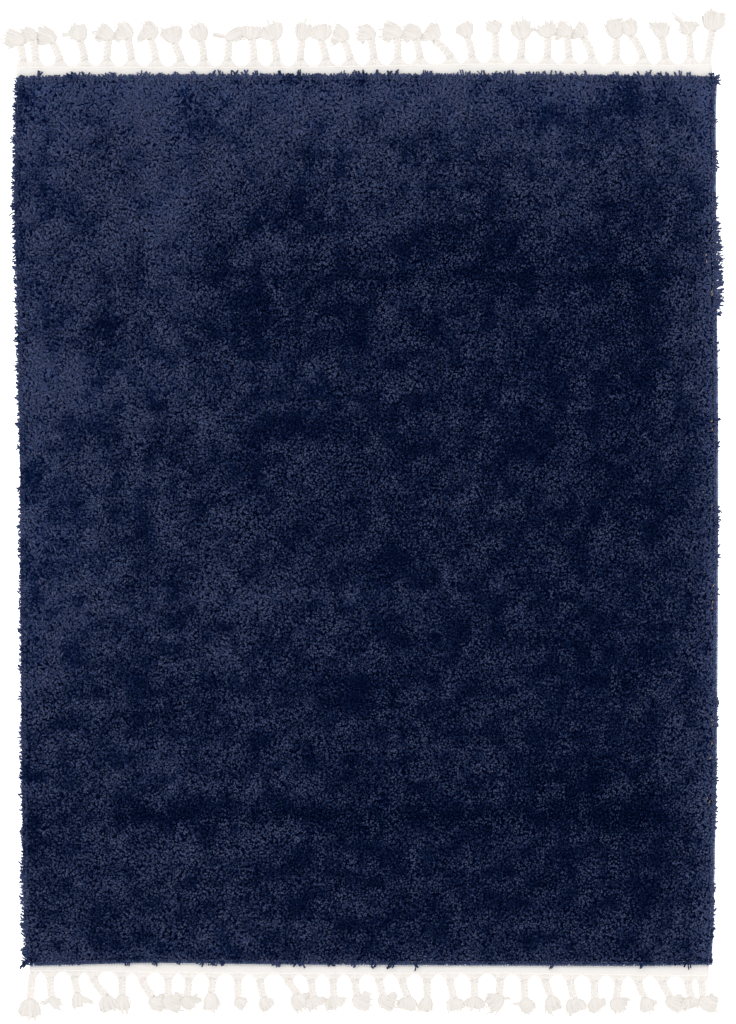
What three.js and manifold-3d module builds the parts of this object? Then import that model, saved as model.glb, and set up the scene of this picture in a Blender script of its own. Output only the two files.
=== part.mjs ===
// Shag rug: a woven ground with a deep leaning pile, overcast bindings and a fringed tape across each short end.
// Millimetres, +Z up. The rug lies flat on z = 0 with the origin under its middle, fringes counted.
// Seen from above, +X is the rug's right and +Y its upper end.

import * as THREE from "three";
import { mergeVertices } from "three/addons/utils/BufferGeometryUtils.js";
import Module from "manifold-3d";

const wasm = await Module();
wasm.setup();

// Heights over the floor
const PILE_HEIGHT = 30;
const BINDING_HEIGHT = 8;
const TAPE_THICKNESS = 3;
const BRAID_HEIGHT = 11;
const TUFT_HEIGHT = 14;

// Widths and clearances in plan
const BINDING_WIDTH = 9;
const BRAID_WIDTH = 16;
const PILE_OVERHANG = 12; // the pile leans this far past the bindings at the left and the upper edge
const CORNER_CUT = 9;
const GAP = 0.3;

// Where the rug's long sides run, from the lower end to the upper one: the pile's reach on the left, and
// the binding's outer face on the right. The sides bow, and the rug narrows towards its lower end.
const SIDE_EDGES = [
  { y: -990, left: -770, right: 796 },
  { y: -940, left: -776, right: 798 },
  { y: -735, left: -779, right: 800 },
  { y: -525, left: -781, right: 804 },
  { y: -220, left: -783, right: 806 },
  { y: 90, left: -784, right: 808 },
  { y: 295, left: -788, right: 808 },
  { y: 500, left: -791, right: 808 },
  { y: 705, left: -798, right: 807 },
  { y: 910, left: -795, right: 806 },
  { y: 965, left: -789, right: 808 },
];

// Where the short ends run, from left to right: the lower binding's outer face, the pile's reach at the
// upper end, and the outer edge of the fringe's tape past each of them.
const END_EDGES = [
  { x: -745, lower: -1031, lowerTape: -1046, upper: 999, upperTape: 1023 },
  { x: -640, lower: -1027, lowerTape: -1045, upper: 1001, upperTape: 1023 },
  { x: -480, lower: -1024, lowerTape: -1049, upper: 1002, upperTape: 1023 },
  { x: -150, lower: -1028, lowerTape: -1052, upper: 1004, upperTape: 1023 },
  { x: 300, lower: -1029, lowerTape: -1051, upper: 1004, upperTape: 1031 },
  { x: 640, lower: -1030, lowerTape: -1056, upper: 1002, upperTape: 1027 },
  { x: 770, lower: -1026, lowerTape: -1057, upper: 1000, upperTape: 1029 },
];

// How far each level of the rug's body stays inside those edges: the ground stands between the bindings,
// and the pile above it spreads over them and leans to the left and to the upper end.
const GROUND_INSET = BINDING_WIDTH + GAP;
const LEANING_INSET = PILE_OVERHANG + GROUND_INSET;
const PILE_UNDERSIDE = BINDING_HEIGHT + GAP;
const BODY_LEVELS = [
  { z: 0, left: LEANING_INSET, right: GROUND_INSET, lower: GROUND_INSET, upper: LEANING_INSET },
  { z: PILE_UNDERSIDE, left: LEANING_INSET, right: GROUND_INSET, lower: GROUND_INSET, upper: LEANING_INSET },
  { z: PILE_UNDERSIDE, left: 5, right: 6, lower: 8, upper: 5 },
  { z: 16, left: 0, right: 3, lower: 5, upper: 0 },
  { z: 25, left: 1, right: 7, lower: 9, upper: 1 },
  { z: PILE_HEIGHT, left: 9, right: 16, lower: 18, upper: 9 },
];

// The tassels, from left to right: x of the braid's foot on the tape and of its knot, the braid's length,
// how far the tuft's tip lies past the knot across and outwards, and the tuft's width.
const UPPER_TASSELS = [
  { foot: -774, knot: -779, braid: 46, tipX: -41, tipY: 18, tuft: 30 },
  { foot: -744, knot: -751, braid: 57, tipX: -36, tipY: 9, tuft: 25 },
  { foot: -690, knot: -706, braid: 50, tipX: -43, tipY: 21, tuft: 27 },
  { foot: -633, knot: -644, braid: 55, tipX: -11, tipY: 41, tuft: 34 },
  { foot: -583, knot: -578, braid: 57, tipX: -32, tipY: 21, tuft: 27 },
  { foot: -526, knot: -535, braid: 59, tipX: -32, tipY: 23, tuft: 34 },
  { foot: -471, knot: -482, braid: 62, tipX: -39, tipY: 16, tuft: 32 },
  { foot: -414, knot: -430, braid: 50, tipX: -9, tipY: 43, tuft: 41 },
  { foot: -361, knot: -368, braid: 55, tipX: -18, tipY: 41, tuft: 34 },
  { foot: -307, knot: -304, braid: 55, tipX: 43, tipY: 23, tuft: 27 },
  { foot: -247, knot: -252, braid: 59, tipX: 9, tipY: 32, tuft: 30 },
  { foot: -195, knot: -204, braid: 59, tipX: -7, tipY: 39, tuft: 36 },
  { foot: -142, knot: -138, braid: 57, tipX: 5, tipY: 43, tuft: 23 },
  { foot: -83, knot: -95, braid: 57, tipX: -7, tipY: 39, tuft: 36 },
  { foot: -28, knot: -42, braid: 52, tipX: -32, tipY: 18, tuft: 30 },
  { foot: 26, knot: 19, braid: 57, tipX: -34, tipY: 14, tuft: 27 },
  { foot: 81, knot: 79, braid: 57, tipX: -39, tipY: 16, tuft: 30 },
  { foot: 131, knot: 122, braid: 52, tipX: -27, tipY: 23, tuft: 27 },
  { foot: 202, knot: 163, braid: 48, tipX: -16, tipY: 34, tuft: 30 },
  { foot: 250, knot: 238, braid: 57, tipX: -14, tipY: 36, tuft: 32 },
  { foot: 304, knot: 302, braid: 64, tipX: -14, tipY: 30, tuft: 30 },
  { foot: 361, knot: 364, braid: 52, tipX: -5, tipY: 48, tuft: 32 },
  { foot: 421, knot: 423, braid: 57, tipX: -9, tipY: 32, tuft: 30 },
  { foot: 471, knot: 466, braid: 57, tipX: -30, tipY: 18, tuft: 27 },
  { foot: 523, knot: 503, braid: 55, tipX: -25, tipY: 21, tuft: 30 },
  { foot: 578, knot: 578, braid: 57, tipX: -9, tipY: 46, tuft: 30 },
  { foot: 640, knot: 612, braid: 62, tipX: -11, tipY: 39, tuft: 32 },
  { foot: 690, knot: 681, braid: 57, tipX: -2, tipY: 41, tuft: 32 },
  { foot: 747, knot: 744, braid: 64, tipX: -11, tipY: 30, tuft: 30 },
  { foot: 788, knot: 798, braid: 73, tipX: 8, tipY: 50, tuft: 44 },
];
const LOWER_TASSELS = [
  { foot: -754, knot: -758, braid: 59, tipX: -7, tipY: 48, tuft: 41 },
  { foot: -712, knot: -708, braid: 55, tipX: 23, tipY: 23, tuft: 21 },
  { foot: -656, knot: -649, braid: 46, tipX: 0, tipY: 39, tuft: 23 },
  { foot: -614, knot: -583, braid: 52, tipX: 11, tipY: 39, tuft: 32 },
  { foot: -548, knot: -548, braid: 48, tipX: 7, tipY: 41, tuft: 30 },
  { foot: -503, knot: -478, braid: 55, tipX: 32, tipY: 16, tuft: 27 },
  { foot: -443, knot: -443, braid: 50, tipX: 36, tipY: 18, tuft: 27 },
  { foot: -396, knot: -400, braid: 50, tipX: 16, tipY: 21, tuft: 27 },
  { foot: -341, knot: -345, braid: 41, tipX: 2, tipY: 46, tuft: 30 },
  { foot: -284, knot: -284, braid: 52, tipX: 21, tipY: 21, tuft: 27 },
  { foot: -234, knot: -225, braid: 50, tipX: 18, tipY: 30, tuft: 30 },
  { foot: -170, knot: -147, braid: 41, tipX: 21, tipY: 30, tuft: 32 },
  { foot: -117, knot: -111, braid: 48, tipX: 9, tipY: 27, tuft: 32 },
  { foot: -67, knot: -65, braid: 48, tipX: 7, tipY: 30, tuft: 32 },
  { foot: -17, knot: -13, braid: 48, tipX: 36, tipY: 14, tuft: 27 },
  { foot: 38, knot: 47, braid: 48, tipX: 34, tipY: 16, tuft: 27 },
  { foot: 90, knot: 104, braid: 48, tipX: -5, tipY: 36, tuft: 32 },
  { foot: 147, knot: 147, braid: 48, tipX: -11, tipY: 39, tuft: 27 },
  { foot: 199, knot: 209, braid: 52, tipX: 7, tipY: 32, tuft: 32 },
  { foot: 254, knot: 256, braid: 50, tipX: -7, tipY: 30, tuft: 32 },
  { foot: 314, knot: 311, braid: 43, tipX: -32, tipY: 30, tuft: 27 },
  { foot: 368, knot: 370, braid: 52, tipX: 18, tipY: 34, tuft: 30 },
  { foot: 416, knot: 430, braid: 46, tipX: 9, tipY: 39, tuft: 32 },
  { foot: 473, knot: 482, braid: 50, tipX: 11, tipY: 36, tuft: 30 },
  { foot: 528, knot: 530, braid: 50, tipX: 18, tipY: 27, tuft: 27 },
  { foot: 583, knot: 578, braid: 48, tipX: 23, tipY: 27, tuft: 27 },
  { foot: 628, knot: 644, braid: 46, tipX: 11, tipY: 36, tuft: 30 },
  { foot: 683, knot: 701, braid: 43, tipX: 36, tipY: 21, tuft: 25 },
  { foot: 742, knot: 749, braid: 46, tipX: 2, tipY: 27, tuft: 34 },
  { foot: 774, knot: 776, braid: 43, tipX: 39, tipY: 18, tuft: 25 },
];

// Each fringe: the ends of its tape, which way its tassels point, and the edges that it lies between
const FRINGES = {
  upper: { left: -790, right: 797, outward: 1, inner: "upper", outer: "upperTape", tassels: UPPER_TASSELS },
  lower: { left: -759, right: 790, outward: -1, inner: "lower", outer: "lowerTape", tassels: LOWER_TASSELS },
};

// A braid along its length, from inside the tape to just past its knot, and a tuft from the knot to its
// tip, as shares of the tuft's own width and height
const BRAID_STATIONS = [
  { along: -0.18, wide: 2.5 * BRAID_WIDTH, high: 5 },
  { along: 0.12, wide: 1.5 * BRAID_WIDTH, high: 9 },
  { along: 0.4, wide: BRAID_WIDTH, high: BRAID_HEIGHT },
  { along: 1.05, wide: BRAID_WIDTH, high: BRAID_HEIGHT },
];
const TUFT_STATIONS = [
  { along: -0.12, wide: 0.48, high: 0.8 },
  { along: 0.5, wide: 1, high: 1 },
  { along: 1, wide: 0.66, high: 0.5 },
];

// Sections one unit wide and one high that rest on the floor, counterclockwise: a yarn bundle that has
// flattened under its own weight, and a binding rounded over the cloth's edge
const BUNDLE_SECTION = [[0.38, 0], [0.5, 0.35], [0.3, 1], [-0.3, 1], [-0.5, 0.35], [-0.38, 0]];
const BINDING_SECTION = [[0.5, 0], [0.5, 0.55], [0.28, 1], [-0.28, 1], [-0.5, 0.55], [-0.5, 0]];

const FINISHES = {
  pile: { color: "#1c2647", roughness: 1, metalness: 0 },
  binding: { color: "#2f3963", roughness: 0.9, metalness: 0 },
  cotton: { color: "#efe8df", roughness: 0.95, metalness: 0 },
};

// A closed solid through profiles of equal length, each end closed by a fan about its middle; place turns a
// profile's point at a station into space. Profiles run counterclockwise as seen from the last station.
function loft(profiles, place) {
  const points = profiles.flatMap((profile, station) => profile.map((point) => place(point, station)));
  const count = profiles[0].length;
  const last = profiles.length - 1;
  const middles = [0, last].map((station) => {
    const sum = profiles[station].reduce((total, point) => total.add(point), new THREE.Vector2());
    return place(sum.divideScalar(count), station);
  });
  const [firstMiddle, lastMiddle] = [points.length, points.length + 1];
  const faces = [];
  for (let i = 0; i < count; i += 1) {
    const next = (i + 1) % count;
    for (let ring = 0; ring < last * count; ring += count) {
      faces.push(ring + i, ring + next, ring + next + count, ring + i, ring + next + count, ring + i + count);
    }
    faces.push(firstMiddle, next, i, lastMiddle, last * count + i, last * count + next);
  }
  const geometry = new THREE.BufferGeometry().setFromPoints([...points, ...middles]);
  geometry.setIndex(faces);
  return geometry;
}

function sectionProfile(section, wide, high) {
  return section.map(([across, up]) => new THREE.Vector2(across * wide, up * high));
}

function rowBetween(rows, key, column, value) {
  const first = rows.findIndex((row) => row[key] > value);
  if (first === 0) return rows[0][column];
  if (first < 0) return rows[rows.length - 1][column];
  const [before, after] = [rows[first - 1], rows[first]];
  const share = (value - before[key]) / (after[key] - before[key]);
  return THREE.MathUtils.lerp(before[column], after[column], share);
}

// The body's outline at one level, counterclockwise, with its corners cut
function bodyOutline(level) {
  const lowerRow = END_EDGES.map((row) => new THREE.Vector2(row.x, row.lower + level.lower));
  const rightRow = SIDE_EDGES.map((row) => new THREE.Vector2(row.right - level.right, row.y));
  const upperRow = END_EDGES.map((row) => new THREE.Vector2(row.x, row.upper - level.upper)).reverse();
  const leftRow = SIDE_EDGES.map((row) => new THREE.Vector2(row.left + level.left, row.y)).reverse();
  return [lowerRow, rightRow, upperRow, leftRow].flatMap((row, side, rows) => {
    const end = row[row.length - 1];
    const next = rows[(side + 1) % rows.length][0];
    const alongEnds = side % 2 === 0;
    const corner = alongEnds ? new THREE.Vector2(next.x, end.y) : new THREE.Vector2(end.x, next.y);
    const before = corner.clone().add(end.clone().sub(corner).setLength(CORNER_CUT));
    const after = corner.clone().add(next.clone().sub(corner).setLength(CORNER_CUT));
    return [...row, before, after];
  });
}

function pileBody() {
  return loft(BODY_LEVELS.map(bodyOutline), (point, station) => {
    return new THREE.Vector3(point.x, point.y, BODY_LEVELS[station].z);
  });
}

// A binding along a long side; middle gives the binding's centre line from a row of that side's edges
function sideBinding(middle) {
  const [lowest, highest] = [SIDE_EDGES[0], SIDE_EDGES[SIDE_EDGES.length - 1]];
  const lowerEnd = { ...lowest, y: rowBetween(END_EDGES, "x", "lower", middle(lowest)) };
  const upperFace = rowBetween(END_EDGES, "x", "upper", middle(highest)) - PILE_OVERHANG;
  const stations = [lowerEnd, ...SIDE_EDGES, { ...highest, y: upperFace }].reverse();
  const section = sectionProfile(BINDING_SECTION, BINDING_WIDTH, BINDING_HEIGHT);
  return loft(stations.map(() => section), (point, station) => {
    return new THREE.Vector3(middle(stations[station]) + point.x, stations[station].y, point.y);
  });
}

// A binding across a short end, between the two side bindings
function endBinding(middle, sideRow) {
  const left = sideRow.left + LEANING_INSET;
  const right = sideRow.right - GROUND_INSET;
  const stations = [{ ...END_EDGES[0], x: left }, ...END_EDGES, { ...END_EDGES[END_EDGES.length - 1], x: right }];
  const section = sectionProfile(BINDING_SECTION, BINDING_WIDTH, BINDING_HEIGHT);
  return loft(stations.map(() => section), (point, station) => {
    return new THREE.Vector3(stations[station].x, middle(stations[station]) + point.x, point.y);
  });
}

// The tape's edge line nearest the rug: just clear of the end's binding
function tapeInnerEdge(row, fringe) {
  return fringe.outward > 0 ? row[fringe.inner] - PILE_OVERHANG + GAP : row[fringe.inner] - GAP;
}

function tapeSolid(fringe) {
  const first = { ...END_EDGES[0], x: fringe.left };
  const final = { ...END_EDGES[END_EDGES.length - 1], x: fringe.right };
  const rows = [first, ...END_EDGES, final];
  const inner = rows.map((row) => new THREE.Vector2(row.x, tapeInnerEdge(row, fringe)));
  const outer = rows.map((row) => new THREE.Vector2(row.x, row[fringe.outer])).reverse();
  const shape = new THREE.Shape([...inner, ...outer]);
  return new THREE.ExtrudeGeometry(shape, { depth: TAPE_THICKNESS, bevelEnabled: false });
}

// Sections of a flattened yarn bundle carried along a curve in plan, flat on the floor
function bundle(curve, stations, width, height) {
  const profiles = stations.map((station) => {
    return sectionProfile(BUNDLE_SECTION, station.wide * width, station.high * height);
  });
  return loft(profiles, (point, station) => {
    const centre = curve.getPoint(stations[station].along);
    const ahead = curve.getTangent(THREE.MathUtils.clamp(stations[station].along, 0, 1));
    return new THREE.Vector3(centre.x - ahead.y * point.x, centre.y + ahead.x * point.x, point.y);
  });
}

// A tassel's two solids: the braid, which leaves the tape square to it and flares there as far as the
// tape's end leaves room, and the tuft past its knot
function tasselSolids(row, fringe) {
  const edge = rowBetween(END_EDGES, "x", fringe.outer, row.foot);
  const foot = new THREE.Vector2(row.foot, edge);
  const knot = new THREE.Vector2(row.knot, edge + fringe.outward * row.braid);
  const tip = new THREE.Vector2(knot.x + row.tipX, knot.y + fringe.outward * row.tipY);
  const turn = new THREE.Vector2(foot.x, (foot.y + knot.y) / 2);
  const room = Math.max(BRAID_WIDTH, 2 * Math.min(row.foot - fringe.left, fringe.right - row.foot));
  const stations = BRAID_STATIONS.map((station) => ({ ...station, wide: Math.min(station.wide, room) }));
  return [
    bundle(new THREE.QuadraticBezierCurve(foot, turn, knot), stations, 1, 1),
    bundle(new THREE.LineCurve(knot, tip), TUFT_STATIONS, row.tuft, TUFT_HEIGHT),
  ];
}

function toManifold(geometry) {
  const bare = geometry.clone();
  bare.deleteAttribute("normal");
  bare.deleteAttribute("uv");
  const merged = mergeVertices(bare);
  const vertProperties = new Float32Array(merged.attributes.position.array);
  const triVerts = new Uint32Array(merged.index.array);
  return new wasm.Manifold(new wasm.Mesh({ numProp: 3, vertProperties, triVerts }));
}

function fromManifold(solid) {
  const { vertProperties, triVerts } = solid.getMesh();
  const geometry = new THREE.BufferGeometry();
  geometry.setAttribute("position", new THREE.BufferAttribute(vertProperties, 3));
  geometry.setIndex(new THREE.BufferAttribute(triVerts, 1));
  return geometry;
}

// A fringe is one comb: its tape with every tassel joined to it
function fringeComb(fringe) {
  const tassels = fringe.tassels.flatMap((row) => tasselSolids(row, fringe));
  const joined = tassels.reduce((comb, part) => comb.add(toManifold(part)), toManifold(tapeSolid(fringe)));
  return fromManifold(joined);
}

function named(name, geometry, finish) {
  geometry.computeVertexNormals();
  const mesh = new THREE.Mesh(geometry, new THREE.MeshStandardMaterial(finish));
  mesh.name = name;
  return mesh;
}

const halfBinding = BINDING_WIDTH / 2;
const [lowestSide, highestSide] = [SIDE_EDGES[0], SIDE_EDGES[SIDE_EDGES.length - 1]];
const leftMiddle = (row) => row.left + PILE_OVERHANG + halfBinding;
const rightMiddle = (row) => row.right - halfBinding;
const upperMiddle = (row) => row.upper - PILE_OVERHANG - halfBinding;
const lowerMiddle = (row) => row.lower + halfBinding;

const rug = new THREE.Group();
rug.add(
  named("pile_body", pileBody(), FINISHES.pile),
  named("side_binding_left", sideBinding(leftMiddle), FINISHES.binding),
  named("side_binding_right", sideBinding(rightMiddle), FINISHES.binding),
  named("end_binding_upper", endBinding(upperMiddle, highestSide), FINISHES.binding),
  named("end_binding_lower", endBinding(lowerMiddle, lowestSide), FINISHES.binding),
  named("fringe_upper", fringeComb(FRINGES.upper), FINISHES.cotton),
  named("fringe_lower", fringeComb(FRINGES.lower), FINISHES.cotton),
);

export default rug;
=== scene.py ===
"""A navy shag rug: cut pile on a woven ground, overcast edges and a tape of braided tassels at each end."""

import sys
import logging
import math
from collections.abc import Sequence
from dataclasses import dataclass
from enum import Enum
from typing import NamedTuple

import bpy
import numpy as np
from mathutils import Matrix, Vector


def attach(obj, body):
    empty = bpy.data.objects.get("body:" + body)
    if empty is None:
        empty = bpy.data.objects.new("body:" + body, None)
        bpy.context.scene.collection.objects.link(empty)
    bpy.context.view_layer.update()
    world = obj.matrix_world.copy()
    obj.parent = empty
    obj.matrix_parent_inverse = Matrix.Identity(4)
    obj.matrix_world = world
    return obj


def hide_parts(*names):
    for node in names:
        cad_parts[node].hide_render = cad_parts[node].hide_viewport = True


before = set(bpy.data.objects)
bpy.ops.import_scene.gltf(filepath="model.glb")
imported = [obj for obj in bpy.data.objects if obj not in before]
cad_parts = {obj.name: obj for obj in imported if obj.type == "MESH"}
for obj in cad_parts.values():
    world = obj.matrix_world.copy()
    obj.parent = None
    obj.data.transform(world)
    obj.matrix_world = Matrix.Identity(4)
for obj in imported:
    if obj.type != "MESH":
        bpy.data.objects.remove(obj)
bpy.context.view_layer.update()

ROOT_BODY = "root"
MM = 0.001
TURN = 2 * math.pi

log = logging.getLogger("shag_rug")


class SideRow(NamedTuple):
    """Where the long sides run at one height of the rug, in mm: the pile's reach left, the binding right."""

    y: float
    left: float
    right: float


class EndRow(NamedTuple):
    """Where the short ends run at one place across, in mm: each end's edge and its tape's outer edge."""

    x: float
    lower: float
    lower_tape: float
    upper: float
    upper_tape: float


class TasselRow(NamedTuple):
    """One tassel, in mm: x of foot and knot, the braid's length, the tuft's tip past the knot and width."""

    foot: float
    knot: float
    braid: float
    tip_x: float
    tip_y: float
    tuft: float


class Wisp(NamedTuple):
    """A loose lock of a tuft, in mm: the tassel's number from the left, its tip past the knot and width."""

    tassel: int
    tip_x: float
    tip_y: float
    width: float


class Reach(NamedTuple):
    """How far yarn ends reach past an edge line, in mm, at one place along the edge."""

    along: float
    past: float


class JuteLoop(NamedTuple):
    """A loop of the ground's jute that shows beside the right binding, in mm."""

    x: float
    y: float


class NapMark(NamedTuple):
    """Where the pile lies flatter (plus) or stands up (minus): centre and half sizes in mm, and how much."""

    x: float
    y: float
    half_x: float
    half_y: float
    flatter: float


def table(kind: type, *rows: Sequence[float]) -> tuple:
    """Make a table whose rows have the named columns of a kind."""
    return tuple(kind(*row) for row in rows)


SIDE_ROWS = table(
    SideRow,
    (-990, -770, 798), (-940, -776, 801), (-735, -779, 805), (-525, -781, 809), (-220, -783, 811),
    (90, -784, 812), (295, -788, 811), (500, -791, 808), (705, -798, 807), (910, -795, 806),
    (965, -789, 808),
)

END_ROWS = table(
    EndRow,
    (-745, -1031, -1046, 999, 1023), (-640, -1028, -1045, 1001, 1023), (-480, -1024, -1049, 1002, 1023),
    (-150, -1028, -1052, 1004, 1023), (300, -1030, -1051, 1004, 1031), (640, -1031, -1056, 1002, 1027),
    (770, -1028, -1057, 1000, 1029),
)

UPPER_TASSELS = table(
    TasselRow,
    (-774, -779, 46, -43, 18, 36), (-744, -751, 57, -34, 12, 34), (-690, -706, 50, -45, 21, 36),
    (-633, -644, 55, -11, 41, 34), (-583, -578, 57, -32, 24, 38), (-526, -535, 59, -34, 23, 42),
    (-471, -482, 60, -28, 24, 48), (-414, -430, 50, -9, 43, 41), (-361, -368, 55, -18, 41, 36),
    (-307, -304, 55, 43, 23, 27), (-247, -252, 59, 4, 34, 40), (-195, -204, 57, -14, 39, 48),
    (-142, -138, 57, 11, 43, 32), (-83, -95, 57, -7, 39, 44), (-28, -42, 52, -32, 20, 40),
    (26, 19, 57, -37, 14, 36), (81, 79, 57, -41, 18, 40), (131, 122, 54, -34, 20, 40),
    (202, 163, 50, -22, 30, 44), (250, 238, 57, -14, 36, 32), (304, 302, 64, -14, 30, 30),
    (361, 364, 52, -5, 48, 38), (421, 423, 57, -11, 34, 38), (471, 466, 59, -30, 20, 38),
    (523, 503, 58, -25, 24, 38), (578, 578, 57, -9, 50, 34), (640, 612, 62, -16, 41, 34),
    (690, 681, 57, -2, 41, 32), (747, 744, 64, -11, 30, 30), (788, 798, 73, 8, 50, 44),
)

LOWER_TASSELS = table(
    TasselRow,
    (-754, -758, 59, -7, 48, 41), (-712, -708, 55, 23, 23, 21), (-656, -649, 46, 0, 39, 23),
    (-614, -583, 52, 11, 39, 38), (-548, -548, 48, 7, 41, 30), (-503, -478, 52, 36, 16, 36),
    (-443, -443, 50, 38, 16, 38), (-396, -400, 50, 22, 21, 36), (-341, -345, 41, 2, 46, 30),
    (-284, -284, 52, 21, 21, 27), (-234, -225, 50, 18, 30, 30), (-170, -147, 41, 24, 30, 42),
    (-117, -111, 48, 12, 27, 42), (-67, -65, 48, 12, 27, 42), (-17, -13, 46, 38, 14, 38),
    (38, 47, 46, 34, 20, 38), (90, 104, 48, -5, 36, 38), (147, 147, 48, -11, 39, 27),
    (199, 209, 52, 7, 32, 38), (254, 256, 50, -4, 30, 40), (314, 311, 43, -32, 30, 36),
    (368, 370, 52, 18, 34, 30), (416, 430, 46, 9, 39, 32), (473, 482, 50, 11, 36, 38),
    (528, 530, 50, 16, 27, 38), (583, 578, 48, 23, 27, 36), (628, 644, 46, 11, 36, 30),
    (683, 701, 43, 38, 21, 34), (742, 749, 46, 6, 27, 40), (774, 776, 43, 41, 18, 34),
)

UPPER_WISPS = table(
    Wisp,
    (3, -22, 41, 9), (4, -50, 14, 9), (7, -14, 38, 12), (8, -30, 18, 14), (10, -46, 16, 8),
    (21, 18, 26, 10), (22, 40, 26, 9), (28, -30, 34, 12), (28, 20, 30, 12), (29, -36, 48, 10),
    (29, 24, 32, 12),
)

LOWER_WISPS = table(
    Wisp,
    (2, -30, 16, 10), (3, 34, 24, 12), (8, 44, 8, 9), (21, 30, 10, 7), (22, -34, 14, 8), (27, 34, 12, 9),
)

UPPER_STRAYS = table(
    Reach,
    (-738, 14), (-662, 11), (-649, 9), (-630, 11), (-569, 14), (-562, 11), (-503, 14), (-494, 11),
    (-459, 9), (-423, 11), (-384, 11), (-339, 11), (-327, 14), (-293, 14), (-266, 11), (-238, 11),
    (-186, 9), (-142, 11), (-44, 9), (-13, 11), (-1, 11), (33, 16), (58, 11), (81, 11), (140, 11),
    (158, 9), (227, 11), (241, 9), (272, 11), (302, 9), (325, 11), (339, 11), (386, 11), (402, 9),
    (421, 14), (450, 11), (487, 11), (510, 11), (580, 9), (626, 11), (651, 14), (678, 9), (697, 11),
    (724, 14), (747, 9), (795, 9),
)

LOWER_STRAYS = table(
    Reach,
    (-765, 14), (-537, 9), (-469, 7), (-414, 7), (-364, 9), (-345, 7), (-336, 7), (-316, 5), (-197, 9),
    (-184, 7), (-152, 7), (-136, 9), (-70, 7), (-17, 7), (26, 9), (65, 14), (115, 14), (432, 9), (635, 9),
    (742, 11),
)

RIGHT_STRAYS = table(
    Reach,
    (892, 8), (716, 8), (657, 12), (625, 14), (579, 16), (451, 16), (397, 8), (374, 8), (328, 7), (214, 8),
    (157, 7), (-55, 7), (-71, 7), (-100, 8), (-180, 6), (-420, 7), (-434, 6), (-472, 10), (-565, 7),
    (-606, 7), (-663, 9), (-679, 7), (-705, 7), (-803, 6), (-850, 7), (-903, 7), (-953, 6),
)

LEFT_STRAYS = table(
    Reach,
    (965, 9), (925, 9), (850, 10), (770, 8), (700, 9), (640, 9), (560, 10), (480, 9), (395, 9), (330, 10),
    (262, 9), (205, 9), (150, 8), (60, 9), (-30, 8), (-90, 8), (-180, 9), (-262, 8), (-350, 9), (-420, 6),
    (-505, 9), (-600, 8), (-640, 7), (-728, 8), (-815, 9), (-872, 8), (-935, 9), (-990, 14), (-1003, 16),
)

LEFT_REACH = table(
    Reach,
    (1001, -2), (978, 1), (533, 2), (340, 1), (191, -1), (77, -5), (10, 0), (-105, -1), (-121, -8),
    (-140, -1), (-344, -1), (-447, -4), (-520, 1), (-685, -2), (-698, -8), (-712, -2), (-752, -1),
    (-766, -8), (-780, 0), (-823, 2), (-971, 2), (-1005, 6),
)

RIGHT_REACH = table(
    Reach,
    (1001, 7), (971, 6), (962, -5), (830, -5), (819, 5), (789, 5), (771, -4), (725, -4), (707, 3),
    (684, -2), (659, 8), (613, 13), (534, 17), (470, 13), (438, -3), (385, -2), (333, -4), (237, -4),
    (214, 0), (178, -2), (157, -6), (27, -6), (11, 4), (-21, 4), (-36, -1), (-105, 0), (-132, -6),
    (-401, -6), (-418, 1), (-461, -3), (-474, 1), (-504, -5), (-556, -4), (-572, 1), (-679, 1), (-743, -2),
    (-762, -5), (-834, -5), (-853, 0), (-948, -1), (-1017, -1),
)

UPPER_REACH = table(
    Reach,
    (-790, -1), (-600, -0.5), (150, -0.5), (450, -1.5), (800, -2),
)

LOWER_REACH = table(
    Reach,
    (-770, -4), (-300, -5), (300, -5), (760, -4),
)

# The lie also paints the pile lighter where it lies flat, darker where it stands: painted light and shade.
NAP_MARKS = table(
    NapMark,
    (0, 985, 2000, 100, 0.45), (0, 920, 2000, 230, 0.3), (-800, 300, 330, 1000, 0.2),
    (-800, 0, 640, 3000, 0.13), (-800, 130, 140, 500, 0.25), (800, 0, 110, 3000, 0.2),
    (-600, 860, 60, 90, -0.2), (-440, 700, 60, 110, 0.35), (-440, 500, 60, 150, 0.15),
    (460, 780, 50, 130, 0.12), (640, 930, 110, 45, -0.15), (280, 600, 130, 110, -0.1),
    (600, 480, 70, 140, -0.12), (130, 538, 640, 14, -0.3), (-600, 420, 70, 60, -0.15),
    (-400, 300, 400, 60, 0.22), (-320, 160, 60, 80, 0.12), (-700, -70, 110, 90, 0.17),
    (-180, -190, 330, 24, 0.25), (300, -190, 500, 16, 0.12), (-710, -260, 100, 110, 0.15),
    (-320, -320, 60, 60, 0.12), (-560, -440, 200, 40, -0.15), (-450, -578, 60, 50, 0.12),
    (560, -620, 170, 90, -0.1), (-40, -685, 700, 22, -0.2), (-650, -700, 200, 60, -0.08),
    (720, -720, 80, 90, -0.1), (0, -960, 2000, 40, 0.07),
)

JUTE_LOOPS = table(
    JuteLoop,
    (782, 590), (783, 575), (795, 506), (796, 500), (781, 478), (795, 212), (796, 192), (795, 18),
    (798, -164), (797, -200), (796, -214), (795, -470), (796, -480), (795, -522), (791, -556), (784, -648),
    (790, -655),
)

WARP_ENDS = (-740, -44, 3, 193, 234, 270, 327, 332, 471, 519, 560, 596, 619, 687)


class Edge(Enum):
    """The rug's four edges as seen from above."""

    LEFT = "left"
    RIGHT = "right"
    UPPER = "upper"
    LOWER = "lower"

    @property
    def is_side(self) -> bool:
        """Say whether this is one of the long sides."""
        return self in (Edge.LEFT, Edge.RIGHT)

    @property
    def outward(self) -> np.ndarray:
        """Give the direction out of the rug in plan.

        Returns:
            A unit vector of x and y.
        """
        across = {Edge.LEFT: -1.0, Edge.RIGHT: 1.0}.get(self, 0.0)
        along = {Edge.LOWER: -1.0, Edge.UPPER: 1.0}.get(self, 0.0)
        return np.array([across, along])


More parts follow.
